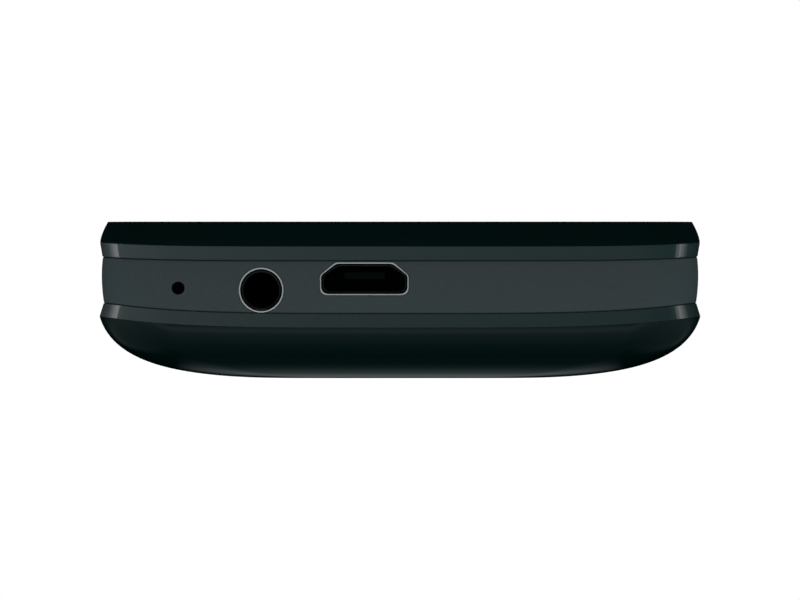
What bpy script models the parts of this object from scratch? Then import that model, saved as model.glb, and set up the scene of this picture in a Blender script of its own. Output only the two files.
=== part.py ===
"""Clamshell mobile phone, closed and lying on its back.

Frame: metres, +Z up, origin on the rest face at the middle of the body. The ports are at the -Y end,
the hinge is at the +Y end, and X runs across the phone.
"""
import math

import bmesh
import bpy
from mathutils import Matrix, Vector

# Body, closed
BODY_WIDTH = 0.0543
BODY_LENGTH = 0.106
CORNER_RADIUS = 0.006
SEAM_REACH_SHARE = 0.98
END_TUCK_SHARE = 0.45
BACK_WIDTH_SHARES = (1.0, 0.958, 0.755, 0.295)
BACK_HEIGHT_SHARES = (1.0, 0.32, 0.0, 0.0)
WALL_IN_SHARES = (1.0, 0.95, 0.3, 0.0)
WALL_UP_SHARES = (0.0, 0.35, 1.0, 1.0)

# Parting lines and the bands beside them
UPPER_SEAM_RISE = 0.00032
UPPER_SEAM_GAP = 0.00014
LOWER_SEAM_Z = 0.00585
LOWER_SEAM_RISE = 0.00095
LOWER_SEAM_GAP = 0.00012
BAND_HEIGHT = 0.00125

# Clearances
FIT = 0.0003
STACK_FIT = 0.00015
RUNNING_FIT = 0.0004
OVERRUN = 0.001

# Lid
LID_TOP_INSET = 0.00068
LID_SHOULDER_INSET = 0.00005
LID_RIM_INSET = 0.00025
LID_SHOULDER_DROP = 0.00164
LID_SLOPE_STEPS = 3
LID_SIDE_WALL = 0.0011
LID_TOP_WALL = 0.00093
LID_REAR_GAP = 0.0052
LID_REAR_RADIUS = 0.002
LID_INNER_SET_IN = 0.00015
LID_PLATE_THICKNESS = 0.00075

# Main display, in the lid
WINDOW_SIDE_MARGIN = 0.00595
WINDOW_FRONT_MARGIN = 0.0272
WINDOW_REAR_MARGIN = 0.009
WINDOW_RADIUS = 0.0022
WINDOW_THICKNESS = 0.0004
DISPLAY_BORDER = 0.0018
DISPLAY_END_BORDER = 0.0036
DISPLAY_LEDGE = 0.0018
DISPLAY_THICKNESS = 0.00085

# Outer display, in the lid's top face
OUTER_WINDOW_SIZE = (0.0316, 0.0236)
OUTER_WINDOW_SETBACK = 0.053
OUTER_WINDOW_RADIUS = 0.0028
OUTER_WINDOW_THICKNESS = 0.0004
OUTER_WINDOW_POCKET = 0.0005
OUTER_DISPLAY_SIZE = (0.026, 0.0185)
OUTER_DISPLAY_OPENING = (0.0242, 0.0166)
OUTER_DISPLAY_THICKNESS = 0.0004

# Earpiece, lid board and bumpers
EARPIECE_SIZE = (0.0104, 0.0064)
EARPIECE_THICKNESS = 0.0012
EARPIECE_SETBACK = 0.0075
EARPIECE_SLOT = (0.0088, 0.0011)
EARPIECE_SLOT_RADIUS = 0.0005
LID_BOARD_MARGIN = 0.0049
LID_BOARD_DEPTH = 0.0092
LID_BOARD_SETBACK = 0.0177
LID_BOARD_THICKNESS = 0.0006
BUMPER_RADIUS = 0.0014
BUMPER_INSET = 0.0066
BUMPER_SETBACK = 0.0048
BUMPER_POCKET = 0.0004
BUMPER_PROUD = 0.0001

# Hinge
HINGE_SETBACK = 0.006
HINGE_DROP = 0.00131
BARREL_RADIUS = 0.0047
LID_BARREL_RADIUS = 0.0046
LID_KNUCKLE_HALF = 0.013
KNUCKLE_GAP = 0.0003
BARREL_END_INSET = 0.00155
CARTRIDGE_RADIUS = 0.0031
CARTRIDGE_INNER_X = 0.005
PIN_RADIUS = 0.002
PIN_INNER_X = 0.0063
HINGE_CAP_THICKNESS = 0.0009
HINGE_CAP_ROUND = 0.00045
NECK_ROOT = 0.0012
WEB_DROP = 0.0033

# Front housing: middle band and keypad deck
MIDDLE_FOOT_INSET = 0.00039
MIDDLE_BULGE_INSET = 0.0002
MIDDLE_TOP_INSET = 0.00029
MIDDLE_WALL = 0.0013
HOUSING_REAR_GAP = 0.0052
HOUSING_REAR_RADIUS = 0.001
DECK_RECESS = 0.00056
DECK_THICKNESS = 0.0008
DECK_MARGIN = 0.0011
CHIN_LENGTH = 0.0125
CHIN_ROOF = 0.00025
CHIN_RADIUS = 0.0015
CHIN_SIDE_MARGIN = 0.00335
DECK_RADIUS = 0.004

# Back cover and rear housing
COVER_WALL = 0.0012
REAR_SHELL_LENGTH = 0.023
COVER_JOINT_GAP = 0.0002
COVER_RIM_INSET = 0.00035
BAY_SIDE_MARGIN = 0.01095
BAY_REAR_WALL = 0.0022
BAY_ROOF = 0.0006
PART_TRAY_FLOOR_Z = 0.0032
PART_TRAY_SIDE_MARGIN = 0.00595
PART_TRAY_LENGTH = 0.0232
PART_TRAY_SETBACK = 0.0032
TRAY_WALL = 0.0012
REAR_TRAY_FLOOR_Z = 0.0013
REAR_TRAY_SIDE_MARGIN = 0.00765
REAR_TRAY_LENGTH = 0.0126
SIDE_SLOT_INSET = 0.00565
SIDE_SLOT_WIDTH = 0.0034
SIDE_SLOT_FLOOR_Z = 0.0032

# Circuit board and what lies on it
BOARD_SIDE_MARGIN = 0.00315
BOARD_SETBACK = 0.0022
BOARD_REAR_GAP = 0.002
BOARD_STANDOFF = 0.0009
BOARD_THICKNESS = 0.001
BOARD_RADIUS = 0.003
BOSS_RADIUS = 0.0012
BOSS_INSET = 0.00495
BOSS_SETBACK = 0.0125
DOME_SHEET_THICKNESS = 0.00015
MAT_THICKNESS = 0.0004
DOME_ROOM = 0.0002
KEY_ROOM = 0.0003

# Ports in the end face
USB_TO_JACK = 0.00935
USB_ROOF = 0.00006
USB_LIP_WIDTH = 0.008
USB_LIP_HEIGHT = 0.0029
USB_SHELL_WIDTH = 0.0075
USB_SHELL_HEIGHT = 0.00235
USB_SHELL_WALL = 0.00025
USB_DEPTH = 0.0056
USB_LIP_DEPTH = 0.0006
USB_SLANT_SHARES = (0.65, 0.39)
USB_FOOT_RADIUS_SHARE = 0.22
USB_MOUTH_FIT = 0.00005
TONGUE_WIDTH = 0.0037
TONGUE_THICKNESS = 0.0006
TONGUE_SETBACK = 0.0011
JACK_TO_MIC = 0.00752
JACK_Z = 0.008
JACK_RING_RADIUS = 0.00205
JACK_BORE_RADIUS = 0.00175
JACK_LENGTH = 0.0112
JACK_HALF_WIDTH = 0.003
JACK_HALF_HEIGHT = 0.0022
JACK_BORE_DEPTH = 0.0098
JACK_MOUTH_FIT = 0.00006
MIC_INSET = 0.00708
MIC_Z = 0.00817
MIC_HOLE_RADIUS = 0.00057
MIC_RADIUS = 0.0014
MIC_LENGTH = 0.0013
BOOT_HALF_WIDTH = 0.0021
BOOT_HALF_HEIGHT = 0.0019
BOOT_LENGTH = 0.0024
BOOT_FRONT_WALL = 0.0005
PORT_SETBACK = 0.00012

# Keys
KEY_PROUD = 0.0004
KEY_CROWN = 0.0002
KEY_EDGE = 0.0005
KEY_RADIUS = 0.0022
KEY_HOLE_FIT = 0.00025
FLANGE_WIDTH = 0.00045
FLANGE_THICKNESS = 0.0005
FLANGE_FIT = 0.0001
KEYPAD_FRONT_MARGIN = 0.0014
KEYPAD_REAR_MARGIN = 0.0028
KEYPAD_SIDE_MARGIN = 0.00015
COLUMN_RIB = 0.0016
ROW_RIB = 0.0012
SOFT_KEY_LENGTH = 0.0132
SOFT_KEY_RIB = 0.004
SOFT_KEY_MARGIN = 0.00075
NAV_REAR_GAP = 0.0193
NAV_RING_RADIUS = 0.0104
NAV_RING_BORE = 0.0048
OK_KEY_RADIUS = 0.0043
NAV_FLANGE_THICKNESS = 0.0003
NAV_PLATE_THICKNESS = 0.00045
NAV_PLATE_RADIUS = 0.0064
NAV_PLATE_FIT = 0.00015

# Side keys
ROCKER_LENGTH = 0.0138
ROCKER_HEIGHT = 0.0015
ROCKER_REAR_GAP = 0.0258
SIDE_KEY_DROP = 0.00231
SIDE_KEY_LENGTH = 0.0088
SIDE_KEY_REAR_GAP = 0.0408
SIDE_KEY_PROUD = 0.00012
SIDE_KEY_FOOT = 0.0006
SIDE_KEY_ROUND = 0.0003
SIDE_KEY_FIT = 0.00035

# Battery and parts in the trays
BATTERY_THICKNESS = 0.0032
BATTERY_END_FIT = 0.0004
BATTERY_RADIUS = 0.0012
SIM_SIZE = (0.0152, 0.0138)
SIM_SIDE_MARGIN = 0.0021
SIM_REAR_MARGIN = 0.0064
SIM_THICKNESS = 0.0011
CONNECTOR_SIZE = (0.0086, 0.003, 0.0022)
CONNECTOR_INSET = 0.0077
CAN_HEIGHT = 0.0019
CAN_SIDE_MARGIN = 0.0011
CAN_JACK_GAP = 0.0004
CAN_FRONT_GAP = 0.0011
CAN_REAR_GAP = 0.004
CAN_WALL = 0.0003
CAN_RADIUS = 0.0006
ANTENNA_DEPTH = 0.0015
ANTENNA_HEIGHT = 0.002
ANTENNA_SIDE_MARGIN = 0.0014
SPEAKER_MARGIN = 0.0012
SPEAKER_END_MARGIN = 0.0005
SPEAKER_CAMERA_GAP = 0.0031
SPEAKER_THICKNESS = 0.0026
SPEAKER_HOLE_RADIUS = 0.0005
SPEAKER_SLOT_PITCH = 0.0018
SPEAKER_SLOTS = 5
CAMERA_HALF = 0.0036
CAMERA_HEIGHT = 0.0041
CAMERA_GLASS_RADIUS = 0.003
CAMERA_LENS_RADIUS = 0.0019
CAMERA_GLASS_THICKNESS = 0.0005
CAMERA_GLASS_SET_IN = 0.0001
MOTOR_RADIUS = 0.00185
MOTOR_SIDE_MARGIN = 0.003
MOTOR_END_MARGIN = 0.0012
MOTOR_LENGTH = 0.0062
MOTOR_LIFT = 0.00215
MOTOR_SHAFT_RADIUS = 0.0004
MOTOR_SHAFT_LENGTH = 0.0033
WEIGHT_RADIUS = 0.0019
WEIGHT_LENGTH = 0.0026
WEIGHT_GAP = 0.0004
WEIGHT_FLAT = 0.0008

# Facet counts
CORNER_SEGMENTS = 6
END_SEGMENTS = 12
BACK_LEVELS = 8
BARREL_SEGMENTS = 32
SMALL_SEGMENTS = 20
KEY_CORNER_SEGMENTS = 3
PEG_SEGMENTS = 12

# Places along the phone
HALF_WIDTH = BODY_WIDTH / 2
HALF_LENGTH = BODY_LENGTH / 2
FRONT_Y = -HALF_LENGTH
HINGE_Y = HALF_LENGTH - HINGE_SETBACK
BARREL_HALF = HALF_WIDTH - BARREL_END_INSET
LID_REAR_Y = HINGE_Y - LID_REAR_GAP
HOUSING_REAR_Y = HINGE_Y - HOUSING_REAR_GAP
CHIN_Y = FRONT_Y + CHIN_LENGTH
COVER_REAR_Y = HALF_LENGTH - REAR_SHELL_LENGTH
PART_TRAY_FRONT_Y = FRONT_Y + PART_TRAY_SETBACK
PART_TRAY_REAR_Y = PART_TRAY_FRONT_Y + PART_TRAY_LENGTH
PART_TRAY_Y = (PART_TRAY_FRONT_Y + PART_TRAY_REAR_Y) / 2
PART_TRAY_HALF_WIDTH = HALF_WIDTH - PART_TRAY_SIDE_MARGIN
BAY_REAR_Y = COVER_REAR_Y - BAY_REAR_WALL
BAY_FRONT_Y = PART_TRAY_REAR_Y + TRAY_WALL
BAY_Y = (BAY_FRONT_Y + BAY_REAR_Y) / 2
BAY_LENGTH = BAY_REAR_Y - BAY_FRONT_Y
BAY_HALF_WIDTH = HALF_WIDTH - BAY_SIDE_MARGIN
CONNECTOR_X = BAY_HALF_WIDTH - CONNECTOR_INSET
REAR_TRAY_HALF_WIDTH = HALF_WIDTH - REAR_TRAY_SIDE_MARGIN
SIDE_SLOT_X = HALF_WIDTH - SIDE_SLOT_INSET
BOARD_HALF_WIDTH = HALF_WIDTH - BOARD_SIDE_MARGIN
REAR_TRAY_FRONT_Y = COVER_REAR_Y + TRAY_WALL
REAR_TRAY_REAR_Y = REAR_TRAY_FRONT_Y + REAR_TRAY_LENGTH
REAR_TRAY_Y = (REAR_TRAY_FRONT_Y + REAR_TRAY_REAR_Y) / 2
BOARD_FRONT_Y = FRONT_Y + BOARD_SETBACK
BOARD_REAR_Y = HOUSING_REAR_Y - BOARD_REAR_GAP
ROCKER_Y = HOUSING_REAR_Y - ROCKER_REAR_GAP
SIDE_KEY_Y = HOUSING_REAR_Y - SIDE_KEY_REAR_GAP
MIC_X = MIC_INSET - HALF_WIDTH
JACK_X = MIC_X + JACK_TO_MIC
USB_X = JACK_X + USB_TO_JACK

# Keypad grid between the chin and the navigation ring
DECK_HALF_WIDTH = HALF_WIDTH - MIDDLE_WALL - DECK_MARGIN
NAV_Y = HOUSING_REAR_Y - NAV_REAR_GAP
KEYPAD_FRONT_Y = CHIN_Y + KEYPAD_FRONT_MARGIN
KEYPAD_REAR_Y = NAV_Y - NAV_RING_RADIUS - KEYPAD_REAR_MARGIN
KEY_ROWS = 5
KEY_COLUMNS = 3
ROW_PITCH = (KEYPAD_REAR_Y - KEYPAD_FRONT_Y) / KEY_ROWS
COLUMN_PITCH = 2 * (DECK_HALF_WIDTH - KEYPAD_SIDE_MARGIN) / KEY_COLUMNS
FIRST_ROW_Y = KEYPAD_FRONT_Y + ROW_PITCH / 2
NUMBER_KEY_SIZE = (COLUMN_PITCH - COLUMN_RIB, ROW_PITCH - ROW_RIB)
SOFT_KEY_INNER_X = NAV_RING_RADIUS + SOFT_KEY_RIB
SOFT_KEY_OUTER_X = DECK_HALF_WIDTH - SOFT_KEY_MARGIN
SOFT_KEY_X = (SOFT_KEY_INNER_X + SOFT_KEY_OUTER_X) / 2
SOFT_KEY_SIZE = (SOFT_KEY_OUTER_X - SOFT_KEY_INNER_X, SOFT_KEY_LENGTH)

# Lid places
WINDOW_FRONT_Y = FRONT_Y + WINDOW_FRONT_MARGIN
WINDOW_REAR_Y = LID_REAR_Y - WINDOW_REAR_MARGIN
WINDOW_Y = (WINDOW_FRONT_Y + WINDOW_REAR_Y) / 2
WINDOW_SIZE = (2 * (HALF_WIDTH - WINDOW_SIDE_MARGIN), WINDOW_REAR_Y - WINDOW_FRONT_Y)
DISPLAY_SIZE = (WINDOW_SIZE[0] - 2 * DISPLAY_BORDER, WINDOW_SIZE[1] - 2 * DISPLAY_END_BORDER)
DISPLAY_OPENING = (DISPLAY_SIZE[0] - 2 * DISPLAY_LEDGE, DISPLAY_SIZE[1] - 2 * DISPLAY_LEDGE)
LID_BOARD_SIZE = (2 * (HALF_WIDTH - LID_BOARD_MARGIN), LID_BOARD_DEPTH)
OUTER_WINDOW_Y = FRONT_Y + OUTER_WINDOW_SETBACK
EARPIECE_Y = FRONT_Y + EARPIECE_SETBACK
LID_BOARD_Y = FRONT_Y + LID_BOARD_SETBACK
BUMPER_X = HALF_WIDTH - BUMPER_INSET
BUMPER_Y = FRONT_Y + BUMPER_SETBACK

# Rear tray: loudspeaker, camera and vibration motor side by side
SPEAKER_RADIUS = REAR_TRAY_LENGTH / 2 - SPEAKER_END_MARGIN
SPEAKER_X = SPEAKER_MARGIN + SPEAKER_RADIUS - REAR_TRAY_HALF_WIDTH
CAMERA_X = SPEAKER_X + SPEAKER_RADIUS + SPEAKER_CAMERA_GAP + CAMERA_HALF
CAMERA_PLACE = (CAMERA_X, REAR_TRAY_Y)
MOTOR_X = REAR_TRAY_HALF_WIDTH - MOTOR_SIDE_MARGIN

# Heights, stacked from the back cover up to the lid
CHASSIS_TOP_Z = LOWER_SEAM_Z + LOWER_SEAM_RISE - BAND_HEIGHT
BOARD_Z = CHASSIS_TOP_Z + BOARD_STANDOFF
BOARD_TOP_Z = BOARD_Z + BOARD_THICKNESS
DOME_SHEET_Z = BOARD_TOP_Z + STACK_FIT
MAT_Z = DOME_SHEET_Z + DOME_SHEET_THICKNESS + DOME_ROOM
FLANGE_Z = MAT_Z + MAT_THICKNESS + KEY_ROOM
DECK_UNDER_Z = FLANGE_Z + FLANGE_THICKNESS + FLANGE_FIT
DECK_TOP_Z = DECK_UNDER_Z + DECK_THICKNESS
UPPER_SEAM_Z = DECK_TOP_Z + DECK_RECESS
KEY_TOP_Z = DECK_TOP_Z + KEY_PROUD
CHIN_CEILING_Z = UPPER_SEAM_Z - UPPER_SEAM_GAP / 2 - CHIN_ROOF
LID_INNER_FACE_Z = UPPER_SEAM_Z + LID_INNER_SET_IN
LID_PLATE_TOP_Z = LID_INNER_FACE_Z + LID_PLATE_THICKNESS
DISPLAY_Z = LID_PLATE_TOP_Z + STACK_FIT
OUTER_DISPLAY_Z = DISPLAY_Z + DISPLAY_THICKNESS + STACK_FIT
LID_CEILING_Z = OUTER_DISPLAY_Z + OUTER_DISPLAY_THICKNESS + STACK_FIT
BODY_HEIGHT = LID_CEILING_Z + LID_TOP_WALL
HINGE_Z = UPPER_SEAM_Z - HINGE_DROP
WEB_FOOT_Z = HINGE_Z - WEB_DROP
SIDE_KEY_Z = UPPER_SEAM_Z - SIDE_KEY_DROP
USB_Z = UPPER_SEAM_Z - UPPER_SEAM_GAP / 2 - USB_ROOF - USB_MOUTH_FIT - USB_LIP_HEIGHT / 2


def clear_scene():
    for item in list(bpy.data.objects):
        bpy.data.objects.remove(item, do_unlink=True)


def linear(code):
    """Linear colour of an sRGB hex code."""
    parts = [int(code[i:i + 2], 16) / 255 for i in (0, 2, 4)]
    return [c / 12.92 if c <= 0.04045 else ((c + 0.055) / 1.055) ** 2.4 for c in parts] + [1.0]


FINISHES = {
    "gloss_black_shell": ("0c1616", 0.12, 0.0),
    "satin_band": ("30393b", 0.38, 0.0),
    "inner_plastic": ("15191a", 0.45, 0.0),
    "black_glass": ("050708", 0.05, 0.0),
    "key_plastic": ("23292b", 0.3, 0.0),
    "nickel_plate": ("c4c6c8", 0.25, 1.0),
    "spring_steel": ("9da1a4", 0.35, 1.0),
    "circuit_board": ("0f4a33", 0.5, 0.0),
    "silicone": ("3c4042", 0.7, 0.0),
    "black_polymer": ("0b0c0d", 0.5, 0.0),
    "battery_film": ("5d6468", 0.45, 0.0),
    "polyester_film": ("b9b7a6", 0.3, 0.0),
}


def material(name):
    """Principled material of one finish, made once and shared."""
    found = bpy.data.materials.get(name)
    if found:
        return found
    code, roughness, metallic = FINISHES[name]
    made = bpy.data.materials.new(name)
    made.use_nodes = True
    shader = made.node_tree.nodes["Principled BSDF"]
    shader.inputs["Base Color"].default_value = linear(code)
    shader.inputs["Roughness"].default_value = roughness
    shader.inputs["Metallic"].default_value = metallic
    return made


def skin(loops, wrap=False):
    """Mesh through loops of equal count: capped at both ends, or joined last to first."""
    bm = bmesh.new()
    rings = [[bm.verts.new(point) for point in loop] for loop in loops]
    pairs = list(zip(rings, rings[1:]))
    if wrap:
        pairs.append((rings[-1], rings[0]))
    for first, second in pairs:
        for i, corner in enumerate(first):
            j = (i + 1) % len(first)
            bm.faces.new((corner, first[j], second[j], second[i]))
    if not wrap:
        bm.faces.new(list(reversed(rings[0])))
        bm.faces.new(rings[-1])
    return bm


def add(name, bm, finish, origin=(0, 0, 0), parent=None):
    """Object from a mesh in world places, with its origin moved to its own reference point."""
    origin = Vector(origin)
    bmesh.ops.translate(bm, vec=-origin, verts=bm.verts)
    bmesh.ops.recalc_face_normals(bm, faces=bm.faces)
    mesh = bpy.data.meshes.new(name)
    bm.to_mesh(mesh)
    bm.free()
    mesh.shade_smooth()
    mesh.set_sharp_from_angle(angle=math.radians(32))
    made = bpy.data.objects.new(name, mesh)
    bpy.context.scene.collection.objects.link(made)
    made.location = origin
    if parent:
        made.parent = parent
        made.location = origin - parent.location
    if finish:
        mesh.materials.append(material(finish))
    return made


def boolean(target, name, bm, operation):
    """Join to, or cut from, a piece with a hidden helper mesh."""
    helper = add(name, bm, None)
    helper.display_type = "WIRE"
    helper.hide_render = True
    step = target.modifiers.new(name, "BOOLEAN")
    step.operation = operation
    step.solver = "EXACT"
    step.object = helper
    return helper


def cut(target, name, bm):
    return boolean(target, name, bm, "DIFFERENCE")


def join(target, name, bm):
    return boolean(target, name, bm, "UNION")


def outline(centre, half, radii, height, corner_segments, end_segments):
    """Rounded rectangle seen from above, counter-clockwise, each point at height(x).

    centre and half are (x, y) pairs, radii are those of the -Y and +Y corners, and the two edges that
    run along X carry end_segments steps.
    """
    front_radius, rear_radius = radii
    corners = ((1, 1, rear_radius), (-1, 1, rear_radius), (-1, -1, front_radius), (1, -1, front_radius))
    flat = []
    for quarter, (side_x, side_y, radius) in enumerate(corners):
        centre_x = side_x * (half[0] - radius)
        centre_y = side_y * (half[1] - radius)
        for step in range(corner_segments + 1):
            angle = (quarter + step / corner_segments) * math.pi / 2
            flat.append((centre_x + radius * math.cos(angle), centre_y + radius * math.sin(angle)))
        if quarter % 2 == 0:
            start_x, edge_y = flat[-1]
            end_x = -side_x * (half[0] - radius)
            for step in range(1, end_segments):
                flat.append((start_x + (end_x - start_x) * step / end_segments, edge_y))
    level = height if callable(height) else lambda x: height
    return [Vector((centre[0] + x, centre[1] + y, level(centre[0] + x))) for x, y in flat]


def body_outline(half_x, front_y, rear_y, radii, height):
    """Outline of the phone's own plan between two Y places."""
    centre = (0, (front_y + rear_y) / 2)
    half = (half_x, (rear_y - front_y) / 2)
    return outline(centre, half, radii, height, CORNER_SEGMENTS, END_SEGMENTS)


def plate(centre, size, radius, low, high, corner_segments=KEY_CORNER_SEGMENTS):
    """Flat rounded plate between two heights."""
    half = (size[0] / 2, size[1] / 2)
    loops = [outline(centre, half, (radius, radius), z, corner_segments, 1) for z in (low, high)]
    return skin(loops)


def block(low, high):
    """Plain block between two corners."""
    bm = bmesh.new()
    middle = (Vector(low) + Vector(high)) / 2
    size = Vector(high) - Vector(low)
    bmesh.ops.create_cube(bm, size=1, matrix=Matrix.Translation(middle) @ Matrix.Diagonal((*size, 1)))
    return bm


def turned(profile, centre, axis, segments, wrap=False):
    """Turned piece: profile holds (radius, place along the axis) pairs, centre is the axis point."""
    turn = Vector((0, 0, 1)).rotation_difference(Vector(axis)).to_matrix()
    loops = []
    for radius, along in profile:
        angles = [2 * math.pi * i / segments for i in range(segments)]
        ring = [Vector((radius * math.cos(a), radius * math.sin(a), along)) for a in angles]
        loops.append([Vector(centre) + turn @ point for point in ring])
    return skin(loops, wrap)


def rod(centre, axis, radius, start, end, segments=SMALL_SEGMENTS):
    return turned(((radius, start), (radius, end)), centre, axis, segments)


def along_hinge(radius, start, end, segments=BARREL_SEGMENTS):
    """Rod on the hinge axis between two places along X."""
    return rod((0, HINGE_Y, HINGE_Z), (1, 0, 0), radius, start, end, segments)


def upright(centre, radius, low, high, segments=SMALL_SEGMENTS):
    """Rod along Z about an (x, y) centre, between two heights."""
    return rod((*centre, 0), (0, 0, 1), radius, low, high, segments)


def inward(centre, radius, start, end, segments=SMALL_SEGMENTS):
    """Rod along Y about an (x, z) centre, between two places along Y."""
    return rod((centre[0], 0, centre[1]), (0, 1, 0), radius, start, end, segments)


def standing(centre, size, low, high):
    """Upright block with a plan size (x, y) about a centre, between two heights."""
    x, y = centre
    half_x, half_y = (size[0] / 2, size[1] / 2)
    return block((x - half_x, y - half_y, low), (x + half_x, y + half_y, high))


def grown(size, gap):
    return (size[0] + 2 * gap, size[1] + 2 * gap)


def merged(meshes):
    """One mesh that holds several separate ones."""
    whole = bmesh.new()
    for bm in meshes:
        mesh = bpy.data.meshes.new("helper")
        bm.to_mesh(mesh)
        bm.free()
        whole.from_mesh(mesh)
        bpy.data.meshes.remove(mesh)
    return whole


def upper_seam(x):
    return UPPER_SEAM_Z + UPPER_SEAM_RISE * abs(x / (HALF_WIDTH * SEAM_REACH_SHARE)) ** 6


def lower_seam(x):
    return LOWER_SEAM_Z + LOWER_SEAM_RISE * abs(x / (HALF_WIDTH * SEAM_REACH_SHARE)) ** 4


def crease(x):
    """Height of the line between the back cover's band and its curved back."""
    return lower_seam(x) - LOWER_SEAM_GAP / 2 - BAND_HEIGHT


def mixed(blend, shares):
    return sum(weight * share for weight, share in zip(blend, shares))


def back_loops(wall):
    """Loops from the flat bottom up to the crease, along one cubic curve set inwards by wall."""
    loops = []
    for step in range(BACK_LEVELS + 1):
        t = 1 - step / BACK_LEVELS
        blend = ((1 - t) ** 3, 3 * t * (1 - t) ** 2, 3 * t * t * (1 - t), t ** 3)
        half_x = HALF_WIDTH * mixed(blend, BACK_WIDTH_SHARES) - wall * mixed(blend, WALL_IN_SHARES)
        rise = mixed(blend, BACK_HEIGHT_SHARES)
        lift = wall * mixed(blend, WALL_UP_SHARES)
        front_y = FRONT_Y + wall + END_TUCK_SHARE * (HALF_WIDTH - wall - half_x)
        radius = CORNER_RADIUS - wall
        height = lambda x, rise=rise, lift=lift: crease(x) * rise + lift
        loops.append(body_outline(half_x, front_y, -front_y, (radius, radius), height))
    return loops


def cover_rim(x):
    return lower_seam(x) - LOWER_SEAM_GAP / 2


def back_rim_loop(inset):
    """Outline of the back shell's rim, level with the lower parting line."""
    radius = CORNER_RADIUS - inset
    return body_outline(HALF_WIDTH - inset, FRONT_Y + inset, -FRONT_Y - inset, (radius, radius), cover_rim)


def back_tub():
    """The whole back as a tub: curved outside, band, rim and the hollow inside."""
    inside = list(reversed(back_loops(COVER_WALL)))
    return skin(back_loops(0) + [back_rim_loop(COVER_RIM_INSET), back_rim_loop(COVER_WALL)] + inside)


def make_back_cover():
    cover = add("battery_cover", back_tub(), "gloss_black_shell")
    beyond = block((-BODY_WIDTH, COVER_REAR_Y, -OVERRUN), (BODY_WIDTH, BODY_LENGTH, BODY_HEIGHT))
    cut(cover, "cover_end_cutter", beyond)
    return cover


def make_rear_housing():
    """Chassis under the cover with the battery bay, and the visible rear part under the hinge."""
    inset = COVER_WALL + FIT
    radius = CORNER_RADIUS - inset
    front_y = FRONT_Y + inset
    loops = back_loops(inset)
    loops.append(body_outline(HALF_WIDTH - inset, front_y, -front_y, (radius, radius), CHASSIS_TOP_Z))
    housing = add("rear_housing", skin(loops), "inner_plastic")
    join(housing, "rear_skin_tool", rear_tail())
    cut(housing, "tray_cutter", merged(tray_spaces()))
    glass = upright(CAMERA_PLACE, CAMERA_GLASS_RADIUS + STACK_FIT, -OVERRUN, camera_glass_top())
    cut(housing, "rear_opening_cutter", merged(speaker_holes() + [glass, sim_slot(), contact_slot()]))
    lens_foot = camera_glass_top() - STACK_FIT
    lens = upright(CAMERA_PLACE, CAMERA_LENS_RADIUS, lens_foot, REAR_TRAY_FLOOR_Z + OVERRUN)
    cut(housing, "lens_cutter", lens)
    cut(housing, "cradle_cutter", along_hinge(BARREL_RADIUS + RUNNING_FIT, -BODY_WIDTH, BODY_WIDTH))
    web_low = (-BARREL_HALF - FIT, HOUSING_REAR_Y - FIT, WEB_FOOT_Z - FIT)
    web_high = (BARREL_HALF + FIT, HINGE_Y, BODY_HEIGHT)
    cut(housing, "web_cutter", block(web_low, web_high))
    join(housing, "boss_tool", merged(board_bosses()))


def tray_spaces():
    """Battery bay, the tray behind the ports, the rear tray and the slots beside the bay."""
    bay = standing((0, BAY_Y), (2 * BAY_HALF_WIDTH, BAY_LENGTH), -OVERRUN, CHASSIS_TOP_Z - BAY_ROOF)
    part_size = (2 * PART_TRAY_HALF_WIDTH, PART_TRAY_LENGTH)
    part_tray = standing((0, PART_TRAY_Y), part_size, PART_TRAY_FLOOR_Z, BODY_HEIGHT)
    rear_size = (2 * REAR_TRAY_HALF_WIDTH, REAR_TRAY_LENGTH)
    rear_tray = plate((0, REAR_TRAY_Y), rear_size, TRAY_WALL, REAR_TRAY_FLOOR_Z, BODY_HEIGHT)
    slot_size = (SIDE_SLOT_WIDTH, BAY_LENGTH)
    places = [(side * SIDE_SLOT_X, BAY_Y) for side in (-1, 1)]
    slots = [standing(place, slot_size, SIDE_SLOT_FLOOR_Z, BODY_HEIGHT) for place in places]
    return [bay, part_tray, rear_tray] + slots


def speaker_holes():
    """Row of round holes in the back, under the loudspeaker."""
    holes = []
    for i in range(SPEAKER_SLOTS):
        place = (SPEAKER_X + (i - (SPEAKER_SLOTS - 1) / 2) * SPEAKER_SLOT_PITCH, REAR_TRAY_Y)
        top = REAR_TRAY_FLOOR_Z + OVERRUN
        holes.append(upright(place, SPEAKER_HOLE_RADIUS, -OVERRUN, top, PEG_SEGMENTS))
    return holes


def sim_slot():
    return standing(sim_centre(), grown(SIM_SIZE, FIT), CHASSIS_TOP_Z - BAY_ROOF - OVERRUN, BODY_HEIGHT)


def contact_slot():
    """Opening for the contacts in the wall between the battery bay and the tray behind the ports."""
    middle = (CONNECTOR_X, (PART_TRAY_REAR_Y + BAY_FRONT_Y) / 2)
    size = (CONNECTOR_SIZE[0] + 2 * FIT, TRAY_WALL + 2 * OVERRUN)
    return standing(middle, size, battery_z() + FIT, BODY_HEIGHT)


def board_bosses():
    """Six posts that the main board rests on."""
    x = HALF_WIDTH - BOSS_INSET
    places = [(side * x, y) for side in (-1, 1) for y in (FRONT_Y + BOSS_SETBACK, BAY_Y, COVER_REAR_Y)]
    low = CHASSIS_TOP_Z - BAY_ROOF
    return [upright(place, BOSS_RADIUS, low, BOARD_Z - STACK_FIT, PEG_SEGMENTS) for place in places]


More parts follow.
